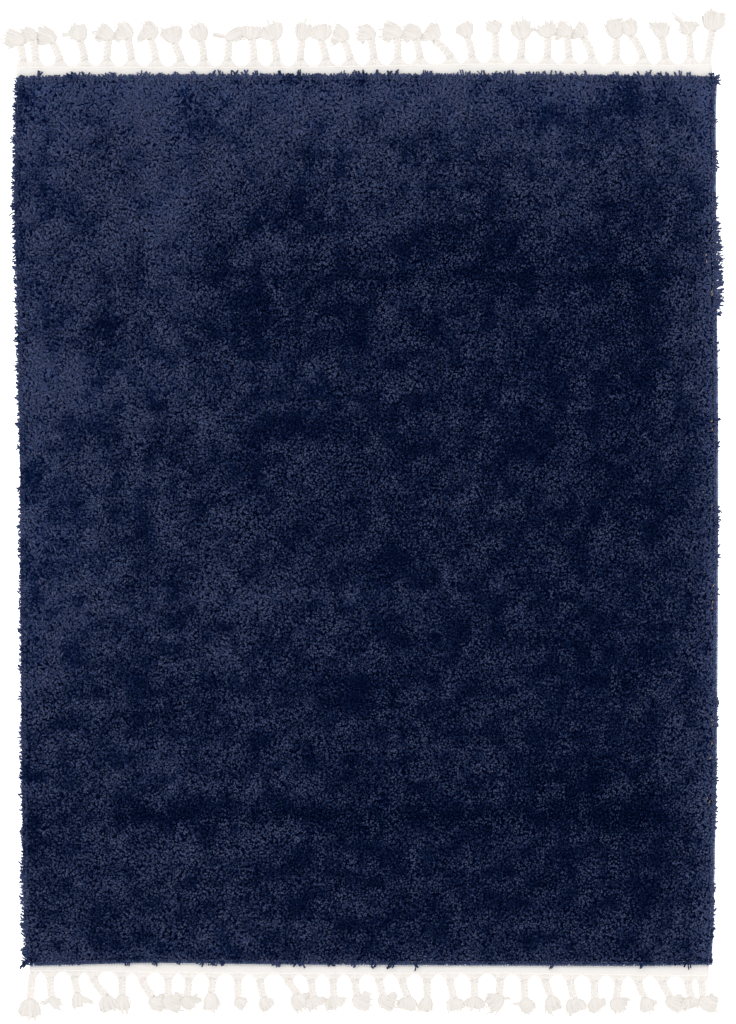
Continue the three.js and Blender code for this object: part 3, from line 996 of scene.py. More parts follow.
@dataclass
class ShagPile:
    """The navy pile: cut yarns leaning left and to the upper end, which hang over the bindings there."""

    outline: RugOutline
    roots: Insets = Insets(left=6.5 * MM, right=8.6 * MM, lower=9 * MM, upper=6.5 * MM)
    width: float = 1570 * MM
    length: float = 2000 * MM
    bands: int = 6
    root_height: float = 9 * MM
    lean: float = math.radians(128)
    lean_turn: float = 0.5
    lean_turn_length: float = 700 * MM
    lean_spread: float = 0.8
    pull: EdgeRule = EdgeRule(1.3, 1.2, 0.5, 1.4, 12 * MM)
    roll: EdgeRule = EdgeRule(0.3, 0.4, 0.25, 0.35, 10 * MM)
    # Painted light: yarn ends near each edge, most at the right, are painted brighter.
    glow: EdgeRule = EdgeRule(0.3, 6.0, 1.2, 1.2, 14 * MM)
    standing_reach: float = 3 * MM
    lying_reach: float = 9 * MM
    crest_spread: float = 1.2 * MM
    tone_spread: float = 0.28
    curl: float = 2.4 * MM
    fray_thickness: float = 4.2 * MM
    fray_spacing: float = 2.9 * MM
    fray_row_step: float = 3 * MM
    fray_lift: float = 2.5 * MM
    fray_tone_spread: float = 0.4
    layers: tuple[StrandLayer, ...] = (
        StrandLayer(6.5 * MM, 2, 21.5 * MM, 0.9, 5.0 * MM, 1.2, 11),
        StrandLayer(11.5 * MM, 3, 24.5 * MM, 1.2, 4.4 * MM, 1.3, 12),
        StrandLayer(34 * MM, 4, 27 * MM, 1.6, 3.6 * MM, 1.4, 13),
    )
    frays: tuple[EdgeFray, ...] = (
        EdgeFray(
            Edge.LEFT, rows=3, root=11 * MM, step=3 * MM, crest=15 * MM, tip=8 * MM, reaches=LEFT_REACH,
            strays=LEFT_STRAYS, yarns_in_stray=3, rough=1.6 * MM, spiky=0.05, light=1.8, seed=14,
        ),
        EdgeFray(
            Edge.RIGHT, rows=2, root=10 * MM, step=2 * MM, crest=13 * MM, tip=9 * MM, reaches=RIGHT_REACH,
            strays=RIGHT_STRAYS, yarns_in_stray=2, rough=2.0 * MM, spiky=0.02, light=3.6, seed=15,
        ),
        EdgeFray(
            Edge.UPPER, rows=3, root=11 * MM, step=3 * MM, crest=15 * MM, tip=9 * MM, reaches=UPPER_REACH,
            strays=UPPER_STRAYS, yarns_in_stray=4, rough=0.7 * MM, spiky=0.0, light=2.6, seed=16,
        ),
        EdgeFray(
            Edge.LOWER, rows=2, root=10 * MM, step=2 * MM, crest=18 * MM, tip=12 * MM, reaches=LOWER_REACH,
            strays=LOWER_STRAYS, yarns_in_stray=3, rough=1.0 * MM, spiky=0.01, light=1.5, seed=17,
        ),
    )

    def plant(self, layer: StrandLayer) -> Growth:
        """Set one layer of yarn ends on a grid, each moved at random within its cell.

        Lying yarns reach further and stay lower than standing ones, and bunched ones stand higher than
        parted ones. Their tone is painted lighter where they lie flat or bunch and near the edges, and darker
        where they stand or part: painted light and shade. They lean the common way, which turns from sideways
        at the lower end to lengthways at the upper, varied by soft noise of two sizes and at random, and
        outwards near an edge.

        Args:
            layer: The layer.

        Returns:
            What each yarn end is to look like.
        """
        rng = np.random.default_rng(layer.seed)
        across, along = round(self.width / layer.spacing), round(self.length / layer.spacing)
        column, row = (grid.ravel() for grid in np.meshgrid(np.arange(across), np.arange(along)))
        count = column.size
        u, v = (column + rng.uniform(0, 1, count)) / across, (row + rng.uniform(0, 1, count)) / along
        x, y = self.outline.place(u, v, self.roots)
        lie, clump = lie_of_pile(x, y), clumps_of_pile(x, y)
        angle = self.lean - self.lean_turn * np.clip(y / self.lean_turn_length, -1, 1)
        angle = angle + rng.normal(0, self.lean_spread, count)
        angle = angle + 0.8 * smooth_noise(x, y, 24 * MM, 21) + 0.6 * smooth_noise(x, y, 90 * MM, 22)
        pull = self.near(x, y, self.pull) @ np.array([[-1, 0], [1, 0], [0, -1], [0, 1]])
        way = unit(np.stack([np.cos(angle), np.sin(angle)], axis=-1) + pull)
        outward = np.stack([-way[:, 0], way[:, 0], -way[:, 1], way[:, 1]], axis=-1)
        room = ((self.margins(x, y) + 2 * MM) / np.maximum(outward, 0.1)).min(axis=-1)
        reach = layer.reach * (self.standing_reach + self.lying_reach * lie) * rng.uniform(0.5, 1.4, count)
        reach = np.minimum(reach, room)
        rolled = 1 - self.near(x, y, self.roll).sum(axis=-1)
        crest = layer.crest * (1 + 0.07 * clump) * (1.04 - 0.16 * lie) * rolled
        crest = crest + rng.normal(0, self.crest_spread, count)
        tip = crest - reach * rng.uniform(0.0, 0.45, count)
        half = 0.5 * layer.thickness * rng.uniform(0.8, 1.2, count)
        # Painted light and shade: lighter near the edges and where the pile lies flat or bunches.
        glow = 1 + self.near(x, y, self.glow).sum(axis=-1)
        tone = glow * layer.tone * (0.35 + 1.55 * lie) * np.exp((0.48 + 0.1 * lie) * clump)
        tone = tone * rng.lognormal(0, self.tone_spread, count)
        return Growth(np.stack([x, y], axis=-1), way, reach, crest, tip, half, tone)

    def near(self, x: np.ndarray, y: np.ndarray, rule: EdgeRule) -> np.ndarray:
        """Say how strongly a rule works at roots: its strength at each edge times exp(−distance / fade).

        Args:
            x: Roots across.
            y: Roots along.
            rule: The strengths and the distance over which they fade.

        Returns:
            A row of four values for each root.
        """
        strengths = np.array([rule.left, rule.right, rule.lower, rule.upper])
        return strengths * np.exp(-self.margins(x, y) / rule.fade)

    def margins(self, x: np.ndarray, y: np.ndarray) -> np.ndarray:
        """Measure how far roots are inside the left, right, lower and upper limits of the rooted area.

        Args:
            x: Roots across.
            y: Roots along.

        Returns:
            Four distances for each root, in metres.
        """
        left = x - self.outline.side_line("left", y) - self.roots.left
        right = self.outline.side_line("right", y) - self.roots.right - x
        lower = y - self.outline.end_line("lower", x) - self.roots.lower
        upper = self.outline.end_line("upper", x) - self.roots.upper - y
        return np.stack([left, right, lower, upper], axis=-1)

    def span(self, edge: Edge, inset: float) -> tuple[float, float]:
        """Say from where to where an edge runs, inset at both of its ends.

        Args:
            edge: The edge.
            inset: How far to stay inside both of its ends.

        Returns:
            Where it starts and ends, in metres.
        """
        side, end = self.outline.side, self.outline.end
        if edge.is_side:
            return end["lower"][-1] + inset, end["upper"][0] - inset
        row = 0 if edge is Edge.LOWER else -1
        return side["left"][row] + inset, side["right"][row] - inset

    def fray(self, fray: EdgeFray) -> Growth:
        """Set the yarn ends along one edge in rows, then its strays.

        Each row is rooted further in than the one outside it, stands higher and reaches less far. The yarns
        that reach furthest past the edge are the darkest.

        Args:
            fray: The edge's yarn ends.

        Returns:
            What each yarn end is to look like.
        """
        rng = np.random.default_rng(fray.seed)
        low, high = self.span(fray.edge, 4 * MM)
        per_row = round((high - low) / self.fray_spacing)
        row = np.repeat(np.arange(fray.rows), per_row)
        count = len(row)
        along = low + (high - low) * (np.arange(count) % per_row + rng.uniform(0, 1, count)) / per_row
        reaches, strays = np.array(fray.reaches) * MM, np.array(fray.strays) * MM
        marks = reaches[np.argsort(reaches[:, 0])]
        past = np.interp(along, marks[:, 0], marks[:, 1]) + rng.normal(0, fray.rough, count)
        past = past + np.where(rng.uniform(0, 1, count) < fray.spiky, rng.uniform(2, 6, count), 0) * MM
        chosen = np.repeat(strays, fray.yarns_in_stray, axis=0)
        along = np.concatenate([along, chosen[:, 0] + rng.normal(0, 1.6 * MM, len(chosen))])
        past = np.concatenate([past, chosen[:, 1] * rng.uniform(0.3, 0.8, len(chosen))])
        row = np.concatenate([row, np.zeros(len(chosen))])
        count = len(row)
        inset = fray.root + row * self.fray_row_step
        root = self.outline.inside(fray.edge, along, inset)
        out = fray.edge.outward
        common = 0.3 * np.array([math.cos(self.lean), math.sin(self.lean)])
        way = unit(out + common + np.stack([-out[1], out[0]]) * rng.normal(0, 0.5, (count, 1)))
        reach = np.maximum(inset + past - row * (self.fray_row_step + fray.step), 4 * MM)
        crest = fray.crest * rng.uniform(0.9, 1.12, count) + row * self.fray_lift
        tip = fray.tip * rng.uniform(0.6, 1.4, count) + row * self.fray_lift
        half = 0.5 * self.fray_thickness * rng.uniform(0.75, 1.25, count)
        # Painted light: each edge's yarn ends are painted brighter by their own amount, most at the right.
        tone = fray.light * np.exp(0.4 * clumps_of_pile(*root.T))
        tone = tone * rng.lognormal(0, self.fray_tone_spread, count)
        tone = tone * np.interp(past, (-6 * MM, 6 * MM), (1.5, 0.9))
        return Growth(root, way, reach, crest, tip, half, tone)

    def shape(self, growth: Growth, stations: int, seed: int) -> np.ndarray:
        """Give yarn ends their bodies.

        With t the share of the way from root to tip, a yarn runs reach · t^1.4 across, and its height is
        root + (crest − root) · (1 − (1 − t)²) − (crest − tip) · t³. A random curl times sin πt sways it.

        Args:
            growth: What each yarn end is to look like.
            stations: The number of rings.
            seed: The seed of the curls.

        Returns:
            Rings of three corners, turned so that a flat side is mostly on top.
        """
        rng = np.random.default_rng(seed)
        count = len(growth.reach)
        t = np.linspace(0, 1, stations)
        aside = np.stack([-growth.way[:, 1], growth.way[:, 0]], axis=-1)
        curl = rng.normal(0, self.curl, (count, 1)) * np.sin(math.pi * t)
        plan = growth.root[:, None] + growth.way[:, None] * (growth.reach[:, None] * t**1.4)[..., None]
        plan = plan + aside[:, None] * curl[..., None]
        crest, tip, half = (value[:, None] for value in (growth.crest, growth.tip, growth.half))
        height = self.root_height + (crest - self.root_height) * (1 - (1 - t) ** 2) - (crest - tip) * t**3
        centres = lift(plan, np.maximum(height, half))
        wide = half * np.interp(t, (0, 0.5, 1), (0.8, 1.0, 0.95))
        turn = math.pi / 6 + rng.normal(0, 0.4, (count, 1, 1))
        return sweep(centres, lift(aside, 0.0)[:, None], wide, 0.85 * wide, 3, turn)

    def build(self, finish: PileYarn) -> list[bpy.types.Object]:
        """Make the pile in bands from the lower end to the upper.

        Args:
            finish: The yarn's finish.

        Returns:
            One piece for each band.
        """
        low, high = self.outline.end["lower"].min(), self.outline.end["upper"].max()
        stocks = [YarnStock() for _ in range(self.bands)]
        grown = [(self.plant(layer), layer.stations, layer.seed) for layer in self.layers]
        grown += [(self.fray(fray), 4, fray.seed) for fray in self.frays]
        for growth, stations, seed in grown:
            rings = self.shape(growth, stations, seed + 100)
            band = (self.bands * (growth.root[:, 1] - low) / (high - low)).astype(int)
            for number, stock in enumerate(stocks):
                mine = np.clip(band, 0, self.bands - 1) == number
                if mine.any():
                    stock.add(rings[mine], growth.tone[mine], pointed=True)
        material = finish.material()
        return [stock.knot(f"pile_band_{number}", material) for number, stock in enumerate(stocks, 1)]


def slab_rings(x: np.ndarray, y: np.ndarray, top: np.ndarray, bottom: np.ndarray) -> np.ndarray:
    """Close a grid of places into a slab.

    Every row of the grid becomes one ring, which runs along the row's underside from right to left and back
    over its top, so that the rings turn right-handed about the way that the rows follow each other.

    Args:
        x: Places across, rows × columns.
        y: Places along, rows × columns.
        top: Heights of the top.
        bottom: Heights of the underside.

    Returns:
        One body of rings, 1 × rows × 2·columns × 3.
    """
    under = np.stack([x, y, bottom], axis=-1)[:, ::-1]
    over = np.stack([x, y, top], axis=-1)
    return np.concatenate([under, over], axis=1)[None]


@dataclass
class WovenGround:
    """The woven ground under the pile: a thin sheet between the bindings, with a few loops at its right."""

    outline: RugOutline
    thickness: float = 3 * MM
    inset: Insets = Insets(left=21.3 * MM, right=9.3 * MM, lower=9.3 * MM, upper=21.3 * MM)

    def build(self, material: bpy.types.Material) -> bpy.types.Object:
        """Make the sheet on a coarse grid; its top waves by a few tenths of a millimetre.

        Args:
            material: The weave's material.

        Returns:
            The piece.
        """
        u, v = np.meshgrid(np.linspace(0, 1, 25), np.linspace(0, 1, 31))
        x, y = self.outline.place(u, v, self.inset)
        top = self.thickness + 0.25 * MM * smooth_noise(x, y, 50 * MM, 31)
        stock = YarnStock()
        stock.add(slab_rings(x, y, top, np.zeros_like(top)), np.ones(1))
        return stock.knot("woven_ground", material)

    def loops(self, material: bpy.types.Material) -> bpy.types.Object:
        """Make the loops: each is an arch of jute along the edge, 7 mm long, as high as the pile's sides.

        Args:
            material: The jute's material.

        Returns:
            The piece.
        """
        arch = np.linspace(0, math.pi, 6)
        place = np.array(JUTE_LOOPS) * MM
        along = 3.5 * MM * np.cos(arch)
        plan = place[:, None] + np.stack([0.3 * along, along], axis=-1)
        centres = lift(plan, 3 * MM + 14 * MM * np.sin(arch))
        half = np.full(centres.shape[:2], 1.1 * MM)
        stock = YarnStock()
        stock.add(sweep(centres, np.array([1.0, 0, 0]), half, half, 5), np.ones(len(place)))
        return stock.knot("jute_loops", material)


@dataclass
class PileBed:
    """The dense foot of the pile; at the left and upper edges it hangs over the binding."""

    outline: RugOutline
    inset: Insets = Insets(left=4.5 * MM, right=9.4 * MM, lower=9.4 * MM, upper=5 * MM)
    underside: float = 3.6 * MM
    crest: float = 12 * MM
    columns: int = 50
    rows: int = 64

    def build(self, finish: PileShade) -> bpy.types.Object:
        """Make the layer.

        With d the distance from the left or upper outline, its underside and top follow short profiles over
        the binding. Towards the right and lower bindings its top rolls down as the root of the distance.

        Args:
            finish: The shade's finish.

        Returns:
            The piece.
        """
        across, along = 1.58, 2.0
        over_binding = np.array([0, 4, 10, 17.6, 20.5]) * MM
        u = np.concatenate([over_binding / across, np.linspace(0.025, 0.988, self.columns), [0.996, 1]])
        v = np.concatenate([[0, 0.003], np.linspace(0.01, 0.98, self.rows), 1 - over_binding[::-1] / along])
        u, v = np.meshgrid(u, v)
        x, y = self.outline.place(u, v, self.inset)
        hung = np.minimum(u * across, (1 - v) * along)
        arch = (4.2 * MM, 8.6 * MM, 8.6 * MM, self.underside)
        bottom = np.interp(hung, np.array([0, 8, 17.6, 20.5]) * MM, arch)
        roll = 0.35 + 0.65 * np.sqrt(np.clip(np.minimum((1 - u) * across, v * along) / (6 * MM), 0, 1))
        top = np.interp(hung, np.array([0, 4, 10, 18, 30]) * MM, np.array([6, 9.5, 11.3, 11.8, 12]) / 12)
        lumps = 1.5 * MM * smooth_noise(x, y, 22 * MM, 33)
        lie, clump = (rule(x.ravel(), y.ravel()).reshape(x.shape) for rule in (lie_of_pile, clumps_of_pile))
        lumps = lumps + 4 * MM * np.clip(lie - 0.3, 0, 1) * np.clip(hung / (20 * MM), 0, 1)
        top = self.underside + 0.4 * MM + (self.crest * top + lumps - self.underside - 0.4 * MM) * roll
        top = np.maximum(top, bottom + 0.4 * MM)
        # Painted light and shade: the tone rises where the pile lies flat, bunches, or nears the right and
        # lower edges.
        near = np.exp(-np.minimum((1 - u) * across, v * along) / (15 * MM))
        tone = (0.15 + 3.2 * lie) * (1 + 2.5 * near) * np.exp((0.4 + 0.2 * lie) * clump)
        stock = YarnStock()
        stock.add(slab_rings(x, y, top, bottom), np.concatenate([tone[:, ::-1], tone], axis=1)[None])
        return stock.knot("pile_bed", finish.material())


@dataclass
class SergedBinding:
    """A binding: yarn wrapped round the ground's edge, turn beside turn."""

    outline: RugOutline
    edge: Edge
    width: float = 9 * MM
    height: float = 8 * MM
    turn_pitch: float = 6 * MM
    overhang: float = 12 * MM
    lower_tone: float = 0.5

    @property
    def node(self) -> str:
        """Name the node that the binding stands for."""
        return f"side_binding_{self.edge.value}" if self.edge.is_side else f"end_binding_{self.edge.value}"

    @property
    def is_bare(self) -> bool:
        """Say whether the binding shows; the pile hangs over the left and the upper ones."""
        return self.edge in (Edge.RIGHT, Edge.LOWER)

    def centre_line(self, steps: float) -> np.ndarray:
        """Work out the middle of the binding in plan.

        Args:
            steps: The number of points for each turn of yarn.

        Returns:
            Points from one end to the other, count × 2.
        """
        gap = 0.3 * MM
        side, end = self.outline.side, self.outline.end
        inset = self.width / 2 + (0 if self.is_bare else self.overhang)
        if self.edge.is_side:
            low_x, high_x = (self.outline.inside(self.edge, side["y"][row], inset)[0] for row in (0, -1))
            low = self.outline.end_line("lower", low_x) + gap
            high = self.outline.end_line("upper", high_x) - self.overhang - gap
        else:
            row = 0 if self.edge is Edge.LOWER else -1
            low = side["left"][row] + self.overhang + self.width + gap
            high = side["right"][row] - self.width - gap
        count = round((high - low) / self.turn_pitch * steps) + 1
        return self.outline.inside(self.edge, np.linspace(low, high, count), inset)

    def build(self, material: bpy.types.Material) -> bpy.types.Object:
        """Make the wrapped yarn.

        The section is an oval resting on the floor. Each turn of yarn is a half round rib: with f the share
        of the way through a turn, which climbs half a turn's width round the section, the section grows by
        the rib height times the root of 1 − (2f − 1)².

        Args:
            material: The yarn's material.

        Returns:
            The piece.
        """
        corners = 8 if self.is_bare else 6
        line = self.centre_line(3 if self.is_bare else 2)
        distance = np.concatenate([[0], np.cumsum(np.linalg.norm(np.diff(line, axis=0), axis=1))])
        angle = TURN * np.arange(corners) / corners
        share = (distance[:, None] / self.turn_pitch + 0.5 * angle / TURN) % 1
        rib_height = 1.1 * MM
        rib = rib_height * np.sqrt(np.clip(1 - (2 * share - 1) ** 2, 0, 1))
        along = unit(np.gradient(line, axis=0))
        across = np.stack([along[:, 1], -along[:, 0]], axis=-1)
        wide = (self.width / 2 - rib_height + rib) * np.cos(angle)
        high = np.maximum(self.height / 2 + (self.height / 2 - rib_height + rib) * np.sin(angle), 0.2 * MM)
        rings = lift(line[:, None] + across[:, None] * wide[..., None], high)[None]
        turn_number = np.floor(distance / self.turn_pitch + 0.25).astype(int)
        tone = np.random.default_rng(41).uniform(0.85, 1.15, turn_number.max() + 1)[turn_number][None]
        # Painted shade: the lower binding lies in the pile's shade and is painted darker.
        if self.edge is Edge.LOWER:
            tone = self.lower_tone * tone
        stock = YarnStock()
        stock.add(rings, tone)
        return stock.knot(f"{self.node}_yarn", material)


@dataclass
class Fringe:
    """The fringe of one end: a woven cotton tape, two heading cords, gathers, braids, ties and open tufts."""

    outline: RugOutline
    edge: Edge
    left: float
    right: float
    tassels: Sequence[TasselRow]
    wisps: Sequence[Wisp]
    seed: int
    thickness: float = 3 * MM
    overhang: float = 12 * MM
    gap: float = 0.3 * MM
    cord_insets: tuple[float, float] = (2.2 * MM, 5.7 * MM)
    cord_half: float = 2.6 * MM
    cord_height: float = 1.9 * MM
    warps: int = 9
    warp_spread: float = 16 * MM
    warps_in_braid: float = 5.8 * MM
    gather_length: float = 26 * MM
    braid_width: float = 20 * MM
    strand_half: float = 5.3 * MM
    strand_height: float = 5 * MM
    strand_wave: float = 1.3 * MM
    plait_pitch: float = 27 * MM
    full_tuft: float = 30 * MM

    def __post_init__(self) -> None:
        """Work out the tassels' places in metres."""
        self.outward = self.edge.outward[1]
        rows = np.array(self.tassels) * MM
        self.foot_x, self.knot_x, self.length, self.tip_x, self.tip_y, self.tuft = rows.T
        self.foot_y = self.tape_line(self.foot_x)
        self.knot_y = self.foot_y + self.outward * self.length

    def tape_line(self, x: np.ndarray) -> np.ndarray:
        """Give y of the tape's outer edge at each x."""
        return self.outline.end_line(f"{self.edge.value}_tape", x)

    def tape(self) -> np.ndarray:
        """Shape the tape, a thin slab whose top waves a little and whose long edges are rounded off.

        Returns:
            Rings of one body.
        """
        x = np.linspace(self.left, self.right, 200)
        hidden = self.overhang - self.gap if self.edge is Edge.UPPER else -self.gap
        inner = self.outline.end_line(self.edge.value, x) - self.outward * hidden
        outer = self.tape_line(x) - self.outward * 1.5 * MM
        share = np.array([0, 0.03, 0.25, 0.5, 0.75, 0.97, 1])
        y = inner[:, None] + (outer - inner)[:, None] * share
        grid_x = np.repeat(x[:, None], len(share), axis=1)
        wave = 0.3 * MM * smooth_noise(grid_x, y, 9 * MM, self.seed)
        top = self.thickness - 0.4 * MM + wave
        top[:, [0, -1]] -= 1.2 * MM
        order = slice(None) if self.edge is Edge.UPPER else slice(None, None, -1)
        under = lift(np.stack([grid_x, y], axis=-1), 0.1 * MM)[:, order]
        over = np.stack([grid_x, y, top], axis=-1)[:, order][:, ::-1]
        return np.concatenate([under, over], axis=1)[None]

    def heading(self) -> np.ndarray:
        """Lay two plied cords side by side along the tape's outer edge.

        Returns:
            Rings of both cords.
        """
        x = np.linspace(self.left, self.right, 200)
        inset = np.array(self.cord_insets)[:, None]
        y = self.tape_line(x) - self.outward * inset
        sway = 0.35 * MM * smooth_noise(np.broadcast_to(x, y.shape), 40 * inset, 12 * MM, self.seed + 5)
        plan = np.stack([np.broadcast_to(x, y.shape), y + sway], axis=-1)
        half = np.full(y.shape, self.cord_half)
        return sweep(lift(plan, self.cord_height), np.array([0, 1.0, 0]), half, 0.5 * half, 6)

    def warp_ends(self) -> np.ndarray:
        """Let a few short warps peep over the lower binding.

        Returns:
            Rings of each warp's end.
        """
        place = np.array(WARP_ENDS)[:, None] * MM + np.linspace(-1, 1, 4) * MM
        y = self.outline.end_line("lower", place) + np.linspace(2.5, 6.5, 4) * MM
        half = np.full(y.shape, 1.2 * MM)
        centres = lift(np.stack([place, y], axis=-1), np.array([7.2, 8.8, 8.8, 7.2]) * MM)
        return sweep(centres, np.array([1.0, 0, 0]), half, half, 5)

    def gathers(self) -> tuple[np.ndarray, np.ndarray]:
        """Draw the warps of each tassel together from the tape into its braid.

        A warp starts hidden in the tape at its own share of the spread and slides towards the braid's middle
        as (1 − t)^1.9, so neighbouring tassels leave a round arch between them.

        Returns:
            Rings, and the tone of each warp.
        """
        rng = np.random.default_rng(self.seed + 1)
        share = np.linspace(-1, 1, self.warps)
        stations = 6
        t = np.linspace(0, 1, stations)
        room_left = np.minimum(self.warp_spread, self.foot_x - self.left - 8 * MM)
        room_right = np.minimum(self.warp_spread, self.right - self.foot_x - 8 * MM)
        spread = np.where(share < 0, room_left[:, None], room_right[:, None]) * share
        offset = spread[:, :, None] * (1 - t) ** 1.9 + self.warps_in_braid * share[:, None]
        x = self.foot_x[:, None, None] + offset
        y = self.tape_line(x) + self.outward * (-4 * MM + self.gather_length * t)
        z = 2.0 * MM + (3.4 - 1.4 * np.abs(share))[:, None] * MM * np.sin(math.pi * t / 2)
        centres = lift(np.stack([x, y], axis=-1), z).reshape(-1, stations, 3)
        half = np.broadcast_to(np.interp(t, (0, 0.3, 1), (2.6, 3.1, 2.6)) * MM, centres.shape[:2])
        turn = math.pi / 4 + rng.normal(0, 0.2, (len(centres), 1, 1))
        rings = sweep(centres, np.array([1.0, 0, 0]), half, 0.5 * half, 4, turn)
        return rings, rng.uniform(0.94, 1.0, len(centres))

    def braid_line(self, t: np.ndarray) -> tuple[np.ndarray, np.ndarray]:
        """Follow each braid's middle, a quadratic curve that leaves the tape square to it.

        Args:
            t: Shares of the way from foot to knot, one row for all tassels.

        Returns:
            Points as tassels × shares × 2, and unit directions across the braid of the same shape.
        """
        foot = np.stack([self.foot_x, self.foot_y], axis=-1)[:, None]
        knot = np.stack([self.knot_x, self.knot_y], axis=-1)[:, None]
        bend = np.stack([self.foot_x, (self.foot_y + self.knot_y) / 2], axis=-1)[:, None]
        t = t[None, :, None]
        points = (1 - t) ** 2 * foot + 2 * t * (1 - t) * bend + t**2 * knot
        way = unit(2 * (1 - t) * (bend - foot) + 2 * t * (knot - bend))
        return points, np.stack([-way[..., 1], way[..., 0]], axis=-1)

    def braids(self) -> tuple[np.ndarray, np.ndarray]:
        """Plait three strands along each braid.

        At phase p a strand lies cos p across and sin 2p up, times the half width and height that the
        strands' own thickness leaves; the three strands follow each other by a third of a turn. They rise
        thin and low out of the gathers.

        Returns:
            Rings, and the tone of each strand.
        """
        rng = np.random.default_rng(self.seed + 2)
        stations = 20
        t = np.linspace(0.12, 1.02, stations)
        line, across = self.braid_line(t)
        turns = np.round(self.length / self.plait_pitch * 2) / 2
        phase = TURN * (t * turns[:, None, None] + np.arange(3)[:, None] / 3)
        aside = (self.braid_width / 2 - self.strand_half + 1 * MM) * np.cos(phase)
        rise = np.interp(t, (0.12, 0.32), (0.55, 1))
        height = rise * (self.strand_height + self.strand_wave * np.sin(2 * phase))
        centres = lift(line[:, None] + across[:, None] * aside[..., None], height).reshape(-1, stations, 3)
        reference = np.repeat(lift(across, 0.0)[:, None], 3, axis=1).reshape(-1, stations, 3)
        taper = np.interp(t, (0.12, 0.3, 0.95, 1.02), (0.45, 1, 1, 0.75))
        half = np.broadcast_to(self.strand_half * taper, centres.shape[:2])
        return sweep(centres, reference, half, 0.7 * half, 5), rng.uniform(0.92, 0.96, len(centres))

    def ties(self) -> np.ndarray:
        """Wind a thin yarn twice round each braid's end.

        Returns:
            Rings of each tie.
        """
        stations = 18
        phase = TURN * 2 * np.linspace(0, 1, stations)
        line, across = self.braid_line(np.linspace(0.98, 1.05, stations))
        plan = line + across * (6.4 * MM * np.cos(phase))[:, None]
        centres = lift(plan, 5.2 * MM + 4.2 * MM * np.sin(phase))
        reference = np.cross(lift(across, 0.0), np.array([0, 0, 1.0]))
        half = np.full(centres.shape[:2], 1.0 * MM)
        return sweep(centres, reference, half, half, 4)

    def locks(self) -> np.ndarray:
        """List every lock of yarn ends: the tassels' tufts, then the wisps.

        Returns:
            Columns of x and y of the knot, x and y of the tip past it, and the width.
        """
        tip_y = self.outward * self.tip_y
        tufts = np.stack([self.knot_x, self.knot_y, self.tip_x, tip_y, self.tuft], axis=-1)
        wisps = np.array(self.wisps)
        owner = wisps[:, 0].astype(int) - 1
        tips = wisps[:, 1:] * np.array([MM, self.outward * MM, MM])
        return np.concatenate([tufts, np.column_stack([self.knot_x[owner], self.knot_y[owner], tips])])

    def lock_line(self, locks: np.ndarray, share: np.ndarray) -> tuple[np.ndarray, np.ndarray, np.ndarray]:
        """Follow each lock's middle, a quadratic curve that leaves the knot outwards and turns to the tip.

        Args:
            locks: Rows of locks.
            share: Shares of the way from knot to tip, one row for each lock.

        Returns:
            Points, unit directions across the lock, and its half widths: narrow at the knot, soon wide.
        """
        tip = locks[:, None, 2:4]
        bend = self.edge.outward * 0.3 * np.linalg.norm(tip, axis=-1, keepdims=True)
        t = share[..., None]
        points = locks[:, None, :2] + 2 * t * (1 - t) * bend + t**2 * tip
        way = unit(2 * (1 - 2 * t) * bend + 2 * t * tip + 1e-6 * tip)
        open_half = locks[:, 4:5] * np.interp(share, (0, 0.15, 0.4, 0.75, 1), (0.22, 0.4, 0.57, 0.68, 0.73))
        return points, np.stack([-way[..., 1], way[..., 0]], axis=-1), open_half

    def puffs(self) -> np.ndarray:
        """Fill each lock with the mass of its fibres: a flat oval section that follows its half widths.

        Returns:
            Rings of each lock's body.
        """
        rng = np.random.default_rng(self.seed + 3)
        locks = self.locks()
        t = np.tile(np.linspace(0, 1, 8), (len(locks), 1))
        plan, across, wide = self.lock_line(locks, 0.9 * t)
        wide = wide * np.interp(t, (0, 0.75, 1), (1, 1, 0.7)) * rng.uniform(0.88, 1.04, t.shape) - 1.0 * MM
        high = np.interp(t, (0, 0.3, 1), (4.2, 3.6, 1.4)) * MM
        return sweep(lift(plan, high + 0.3 * MM), lift(across, 0.0), wide, high, 10)

    def tufts(self, yarns: int, half: float, loose: float) -> tuple[np.ndarray, np.ndarray]:
        """Lay yarn ends over each puff.

        A yarn keeps its own share of the puff's width, lies on its oval top and ends past its rim, the outer
        ones sooner, so that the tuft is a soft brush with a round end. A sine sways it sideways.

        Args:
            yarns: Yarn ends in a full tuft.
            half: Their half thickness.
            loose: How far their ends stray.

        Returns:
            Rings of three corners, and the tone of each yarn.
        """
        rng = np.random.default_rng(self.seed + round(10 * half / MM))
        locks = self.locks()
        stations = 5
        counts = np.maximum(np.round(yarns * locks[:, 4] / self.full_tuft), 3).astype(int)
        lock = np.repeat(locks, counts, axis=0)
        count = len(lock)
        t = np.linspace(0, 1, stations)
        share = rng.uniform(-1, 1, (count, 1))
        extent = rng.uniform(0.8, 1.14, (count, 1)) * np.sqrt(1 - 0.35 * share**2)
        plan, across, wide = self.lock_line(lock, extent * t)
        wave = np.sin(rng.uniform(0, TURN, (count, 1)) + t * rng.uniform(3, 9, (count, 1)))
        sway = wave * rng.uniform(0.3, 1.6, (count, 1)) * MM
        stray = rng.normal(0, loose, (count, 1)) * t
        aside = share * wide + (sway + stray) * t
        plan = plan + across * aside[..., None]
        high = np.interp(extent * t, (0, 0.3, 1), (4.2, 3.6, 1.6)) * MM
        height = 0.3 * MM + high * (1 + 0.9 * np.sqrt(1 - share**2)) * np.interp(t, (0.7, 1), (1, 0.75))
        height = height + rng.uniform(-0.5, 0.3, (count, 1)) * MM
        thick = half * np.interp(t, (0, 0.3, 1), (1.0, 1.0, 0.6)) * rng.uniform(0.75, 1.2, (count, 1))
        turn = math.pi / 6 + rng.normal(0, 0.15, (count, 1, 1))
